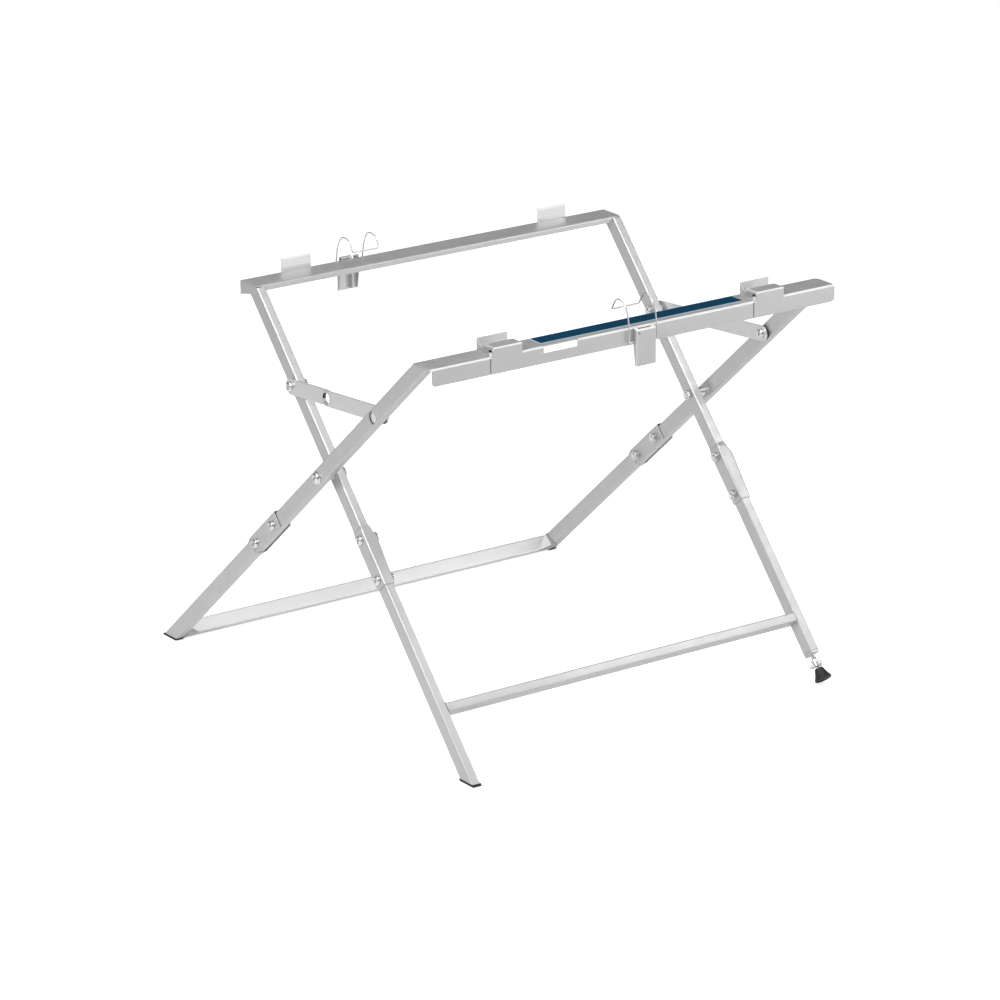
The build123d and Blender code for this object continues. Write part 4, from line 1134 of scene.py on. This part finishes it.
def gusset(side):
    """Folded corner piece between the floor bar and a leg, wide in front and narrow behind."""
    half = FRONT_HALF - TUBE_WIDTH
    top = FRONT.along_at(BAR_HEIGHT, -HALF)
    rings = []
    stations = ((-HALF, 24, 0.5), (-HALF + 0.15, 24, 0.15), (-HALF + 0.5, 24, 0), (HALF - 0.5, 4.5, 0))
    for across, wide, inward in (*stations, (HALF, 4, 0.4)):
        rise = wide * 0.45
        points = [(half, top + 0.5), (half - wide, top + 0.5)]
        points += [(half - wide * 0.225, top - rise), (half, top - rise - 4)]
        loop = inset(rounded(points, [0, 0.5, 1.2, 0], 3)[::-1], inward)
        rings.append([FRONT.point(side * x, across, along) for x, along in loop])
    return loft(rings)


add_piece("front_foot_bar", "tube", front_foot_bar())
# The floor bar's lighter paint is painted light.
add_piece("rear_floor_bar", "channel", rear_floor_bar(), BAR_AND_PAINTED_LIGHT_PAINT)
for side_name, side in SIDES:
    add_piece(f"floor_bar_gusset_{side_name}", "folded", gusset(side))


# Bolts, nuts, washers
BOLT_RADIUS, BOLT_END, HEAD_TOP, SOCKET_FLATS = 4, 1.5, 4.5, 5.2
NUT_HEIGHT, NUT_FLATS, CLEARANCE = 6, 13, 4.1
PAST_FLATS = 9
SETS = {}


def collect(node, *parts):
    SETS.setdefault(node, []).extend(parts)


def add_sets():
    """Each group of like fasteners becomes one piece."""
    for node, parts in SETS.items():
        add_piece(node, "set", joined(*parts))
    SETS.clear()


def beside(point, x):
    return point + Vector((x, 0, 0))


def bolt(seat, way, length, head=7.0, flange=0):
    """Button-headed bolt with a hex socket; way points out of the head, length is the shank's."""
    tip, top = -length, HEAD_TOP
    rings = [(tip, 2.9), (tip + 0.8, 3.8)]
    rings += threaded(tip + 0.9, tip + min(9, length * 0.6), BOLT_RADIUS)
    rings += [(tip + min(9.4, length * 0.62), BOLT_RADIUS), (0, BOLT_RADIUS)]
    base = 0
    if flange:
        base = 1.2
        rings += [(0, flange - 0.3), (0.25, flange), (0.75, flange), (1.15, flange - 0.7)]
        rings.append((1.3, head + 0.25))
    else:
        rings += [(0, head - 0.3), (0.3, head)]
    for share, reach in ((0.42, 1.0), (0.62, 0.965), (0.78, 0.89), (0.9, 0.79), (0.97, 0.69), (1.0, 0.6)):
        rings.append((base + (top - base) * share, head * reach))
    rings += [(top, 3.5), (top - 0.35, 3.05)]
    rings += [(top - drop, PAST_FLATS, SOCKET_FLATS) for drop in (0.5, 2.5)]
    return turned(seat, way, rings + [(top - 2.5, 2.0), (top - 3.1, 0.3)], 48)


def nut(seat, way):
    """Hexagon nut with chamfered corners and a chamfered bore."""
    side = [(0, 6.35), (0.35, 6.8), (0.9, PAST_FLATS)]
    side += [(NUT_HEIGHT - along, radius) for along, radius in reversed(side)]
    rings = [(0, 4.9)] + [(along, radius, NUT_FLATS) for along, radius in side]
    rings += [(NUT_HEIGHT, 4.9), (NUT_HEIGHT - 0.6, CLEARANCE), (0.6, CLEARANCE)]
    return turned(seat, way, rings, 48, closed=True)


def fasten(name, seat, nut_seat, way, length, *head):
    """Bolt and nut of a set; way points out of the bolt's head."""
    collect(f"{name}_bolts", bolt(seat, (way, 0, 0), length, *head))
    collect(f"{name}_nuts", nut(nut_seat, (-way, 0, 0)))


for _, side in SIDES:
    seat = -FRONT_HALF - 1.5 if side < 0 else FRONT_HALF + 3
    far = -FRONT_HALF + TUBE_WIDTH + 3 if side < 0 else FRONT_HALF - TUBE_WIDTH - 1.5
    for along in (155, 214.5):
        length = abs(seat - far) + NUT_HEIGHT + BOLT_END
        fasten("front_splice", FRONT.point(seat, 0, along), FRONT.point(far, 0, along), side, length)


def flared_wall(along, x_high):
    return x_high + min(SOCKET_REACH - (along - SOCKET_BEND) * SOCKET_SLOPE, SOCKET_REACH)


inner_wall = BACK_HALF - TUBE_WIDTH
for along in (105.5, 169):
    for seat, far, nut_at, way in (
        (-BACK_HALF - 1.5, flared_wall(along + 7, -inner_wall), flared_wall(along - 7, -inner_wall), -1),
        (flared_wall(along - 7, BACK_HALF), inner_wall - 1.5, inner_wall - 1.5, 1),
    ):
        length = abs(seat - far) + NUT_HEIGHT + BOLT_END
        fasten("back_splice", BACK.point(seat, 0, along), BACK.point(nut_at, 0, along), way, length)

GAP = 0.3
inner_face = inner_wall - GAP
front_wall = FRONT_HALF - TUBE_WIDTH
for _, side in SIDES:
    length = FRONT_HALF - inner_face + NUT_HEIGHT + BOLT_END
    seat, far = beside(PIVOT, side * FRONT_HALF), beside(PIVOT, side * inner_face)
    fasten("main_pivot", seat, far, side, length, 7.5, 9.5)
    length = front_wall - BACK_HALF - GAP
    seat = beside(PIVOT, side * front_wall)
    collect("main_pivot_spacers", ring_piece(seat, (-side, 0, 0), length, 7, CLEARANCE, 0.5))
add_sets()


# Knee braces
BAR_HALF, BAR_THICK, EYELET, EYELET_BORE = 12, 2.5, 9.6, 8.4
WASHER = 3.3
front_pin = FRONT.point(0, 0, -BRACE_FRONT)
back_pin = BACK.point(0, 0, -BRACE_BACK)
span = (back_pin - front_pin).length
knee = front_pin.lerp(back_pin, (span - BRACE_BACK + BRACE_FRONT) / 2 / span)
LONG_OUTER = front_wall - WASHER - GAP
LONG_INNER = LONG_OUTER - BAR_THICK
SHORT_OUTER = LONG_INNER - GAP
SHORT_INNER = SHORT_OUTER - BAR_THICK


def brace_bar(start, end, outer, inner, side):
    """Flat bar with round ends, a bolt hole at its start and the eyelet's hole at its end."""
    way = Vector((end.y - start.y, end.z - start.z)).normalized()
    left = Vector((-way.y, way.x))
    loop = []
    for centre, forward in ((end, way), (start, -way)):
        for k in range(17):
            angle = -pi / 2 + pi * k / 16
            arm = forward * cos(angle) + (left if forward is way else -left) * sin(angle)
            loop.append((centre.y + arm.x * BAR_HALF, centre.z + arm.y * BAR_HALF))
    holes = [round_hole(start.y, start.z, CLEARANCE, 24), round_hole(end.y, end.z, EYELET, 40)]
    low = min(side * outer, side * inner)
    return slab([loop, *holes], low, low + BAR_THICK, across_x, 0.45)


def eyelet(face, way):
    """Half of the knee's eyelet: a rolled collar that stands out of its bar, with painted shade in its
    upper bore.
    """
    rings = [(0, EYELET_BORE), (0, EYELET), (BAR_THICK, EYELET), (BAR_THICK, 10.8)]
    rolled = ((0.1, 11.1), (0.25, 11), (0.45, 10.4), (0.5, 9.8), (0.45, 9.1), (0.25, 8.65), (0, 8.45))
    rings += [(BAR_THICK + out, radius) for out, radius in rolled] + [(BAR_THICK - 0.6, EYELET_BORE)]
    collar = turned((face, knee.y, knee.z), (way, 0, 0), rings, 56, closed=True)

    # Painted shade: the bore's upper faces take the black material.
    def painted_shade_bore(middle, _):
        reach = hypot(middle.y - knee.y, middle.z - knee.z)
        return reach < EYELET_BORE + 0.2 and middle.z > knee.z - 1.5

    return mark(collar, 1, painted_shade_bore)


for side_name, side in SIDES:
    for name, pin, outer, inner in (
        ("long", front_pin, LONG_OUTER, LONG_INNER), ("short", back_pin, SHORT_OUTER, SHORT_INNER)
    ):
        bar = brace_bar(pin, knee, outer, inner, side)
        add_piece(f"brace_{name}_bar_{side_name}", "pressed", bar, BAR_AND_PAINTED_LIGHT_PAINT)
    for name, face, way in (("outer", LONG_INNER, side), ("inner", SHORT_OUTER, -side)):
        collar = eyelet(side * face, way)
        add_piece(f"knee_eyelet_{name}_{side_name}", "rolled", collar, BAR_AND_PAINTED_LIGHT_PAINT, PLASTIC_AND_PAINTED_SHADE)
    out, back = (side, 0, 0), (-side, 0, 0)
    washer = ring_piece(beside(front_pin, side * front_wall), back, WASHER, 11, CLEARANCE, 0.6)
    collect("brace_front_washers", washer)
    head, inside = LONG_INNER - GAP, beside(front_pin, side * (front_wall + TUBE_WALL))
    collect(
        "brace_front_bolts",
        bolt(beside(front_pin, side * head), back, FRONT_HALF - 7 - head),
        nut(inside, out), ring_piece(inside, out, 1.4, 8.1, CLEARANCE),
    )
    length = SHORT_INNER - GAP - BACK_HALF
    spacer = ring_piece(beside(back_pin, side * BACK_HALF), out, length, 7, CLEARANCE, 0.5)
    collect("brace_back_spacers", spacer)
    head = SHORT_OUTER + GAP
    length = head - inner_wall + NUT_HEIGHT + BOLT_END
    seat, far = beside(back_pin, side * head), beside(back_pin, side * inner_wall)
    fasten("brace_back", seat, far, side, length)
add_sets()


# Camera, light and floor
CAMERA_DOWN, CAMERA_ASIDE = 0.331, 0.623
camera_data = bpy.data.cameras.new("photo_camera")
camera_data.sensor_width = 36
camera_data.lens = 172.7
camera_data.clip_end = 50
camera = bpy.data.objects.new("photo_camera", camera_data)
camera.location = (-3.8779, PIVOT.y * MM - 5.3496, 2.5308)
camera.rotation_euler = (pi / 2 - CAMERA_DOWN, 0, -CAMERA_ASIDE)
bpy.context.scene.collection.objects.link(camera)
bpy.context.scene.camera = camera

# Square lamps that look at the middle of the stand: name, place, side in metres, watts
LAMP_TARGET = Vector((0, 0, 0.35))
for name, place, size, watts in (
    ("left_high", (-2.8, -0.8, 2.6), 0.8, 50),
    ("left_edge", (-2.7, -1.1, 2.0), 0.5, 7),
    ("right_front", (3.4, -3.2, 1.2), 0.8, 30),
    ("right_low", (3.4, -3.2, 0.5), 0.8, 9.5),
    ("top_front", (0, -1.4, 3.4), 1.2, 29),
    ("top", (0, 0, 3.6), 1.4, 17.5),
    ("top_rear", (0, 1.5, 3.2), 1.2, 12),
    ("sheen", (1.85, -1.45, 2.3), 0.8, 9),
):
    lamp_data = bpy.data.lights.new(name, "AREA")
    lamp_data.size = size
    lamp_data.energy = watts
    lamp = bpy.data.objects.new(name, lamp_data)
    lamp.location = place
    lamp.rotation_euler = (LAMP_TARGET - Vector(place)).to_track_quat("-Z", "Y").to_euler()
    bpy.context.scene.collection.objects.link(lamp)

# The world is white to the camera and a dim even light to the stand
AMBIENT = 0.2
world = bpy.data.worlds.new("studio")
bpy.context.scene.world = world
nodes = Nodes(world)
seen = nodes.add("ShaderNodeLightPath").outputs["Is Camera Ray"]
ambient = nodes.add("ShaderNodeMapRange", {"Value": seen, "To Min": AMBIENT, "To Max": 1})
values = {"Color": (1, 1, 1), "Strength": ambient.outputs["Result"]}
nodes.feed(nodes.tree.nodes["Background"], values)

# Pale floor: white to the eye, and still takes the stand's soft shadow
FLOOR_GREY, FLOOR_GLOW, MIRRORED_SHARE = 0.8, 0.75, 0.2
bm = bmesh.new()
bmesh.ops.create_grid(bm, x_segments=2, y_segments=2, size=14)
bmesh.ops.translate(bm, verts=bm.verts, vec=(0, 0, -0.0002))
floor_mesh = bpy.data.meshes.new("studio_floor")
bm.to_mesh(floor_mesh)
bm.free()
floor = bpy.data.objects.new("studio_floor", floor_mesh)
bpy.context.scene.collection.objects.link(floor)
floor_material = bpy.data.materials.new("pale_floor")
nodes = Nodes(floor_material)
nodes.tree.nodes.remove(nodes.shader)
matt = nodes.add("ShaderNodeBsdfDiffuse", {"Color": (FLOOR_GREY,) * 3})
path = nodes.add("ShaderNodeLightPath").outputs
values = {0: path["Is Glossy Ray"], 1: MIRRORED_SHARE, 2: path["Is Camera Ray"]}
seen = nodes.add("ShaderNodeMath", values, operation="MULTIPLY_ADD").outputs[0]
strength = nodes.add("ShaderNodeMath", {0: seen, 1: FLOOR_GLOW}, operation="MULTIPLY").outputs[0]
glow = nodes.add("ShaderNodeEmission", {"Strength": strength})
both = nodes.add("ShaderNodeAddShader", {0: matt.outputs[0], 1: glow.outputs[0]})
nodes.feed(nodes.tree.nodes["Material Output"], {"Surface": both.outputs[0]})
floor_mesh.materials.append(floor_material)

bpy.context.scene.view_settings.view_transform = "Standard"

low, high = CAD_BOX
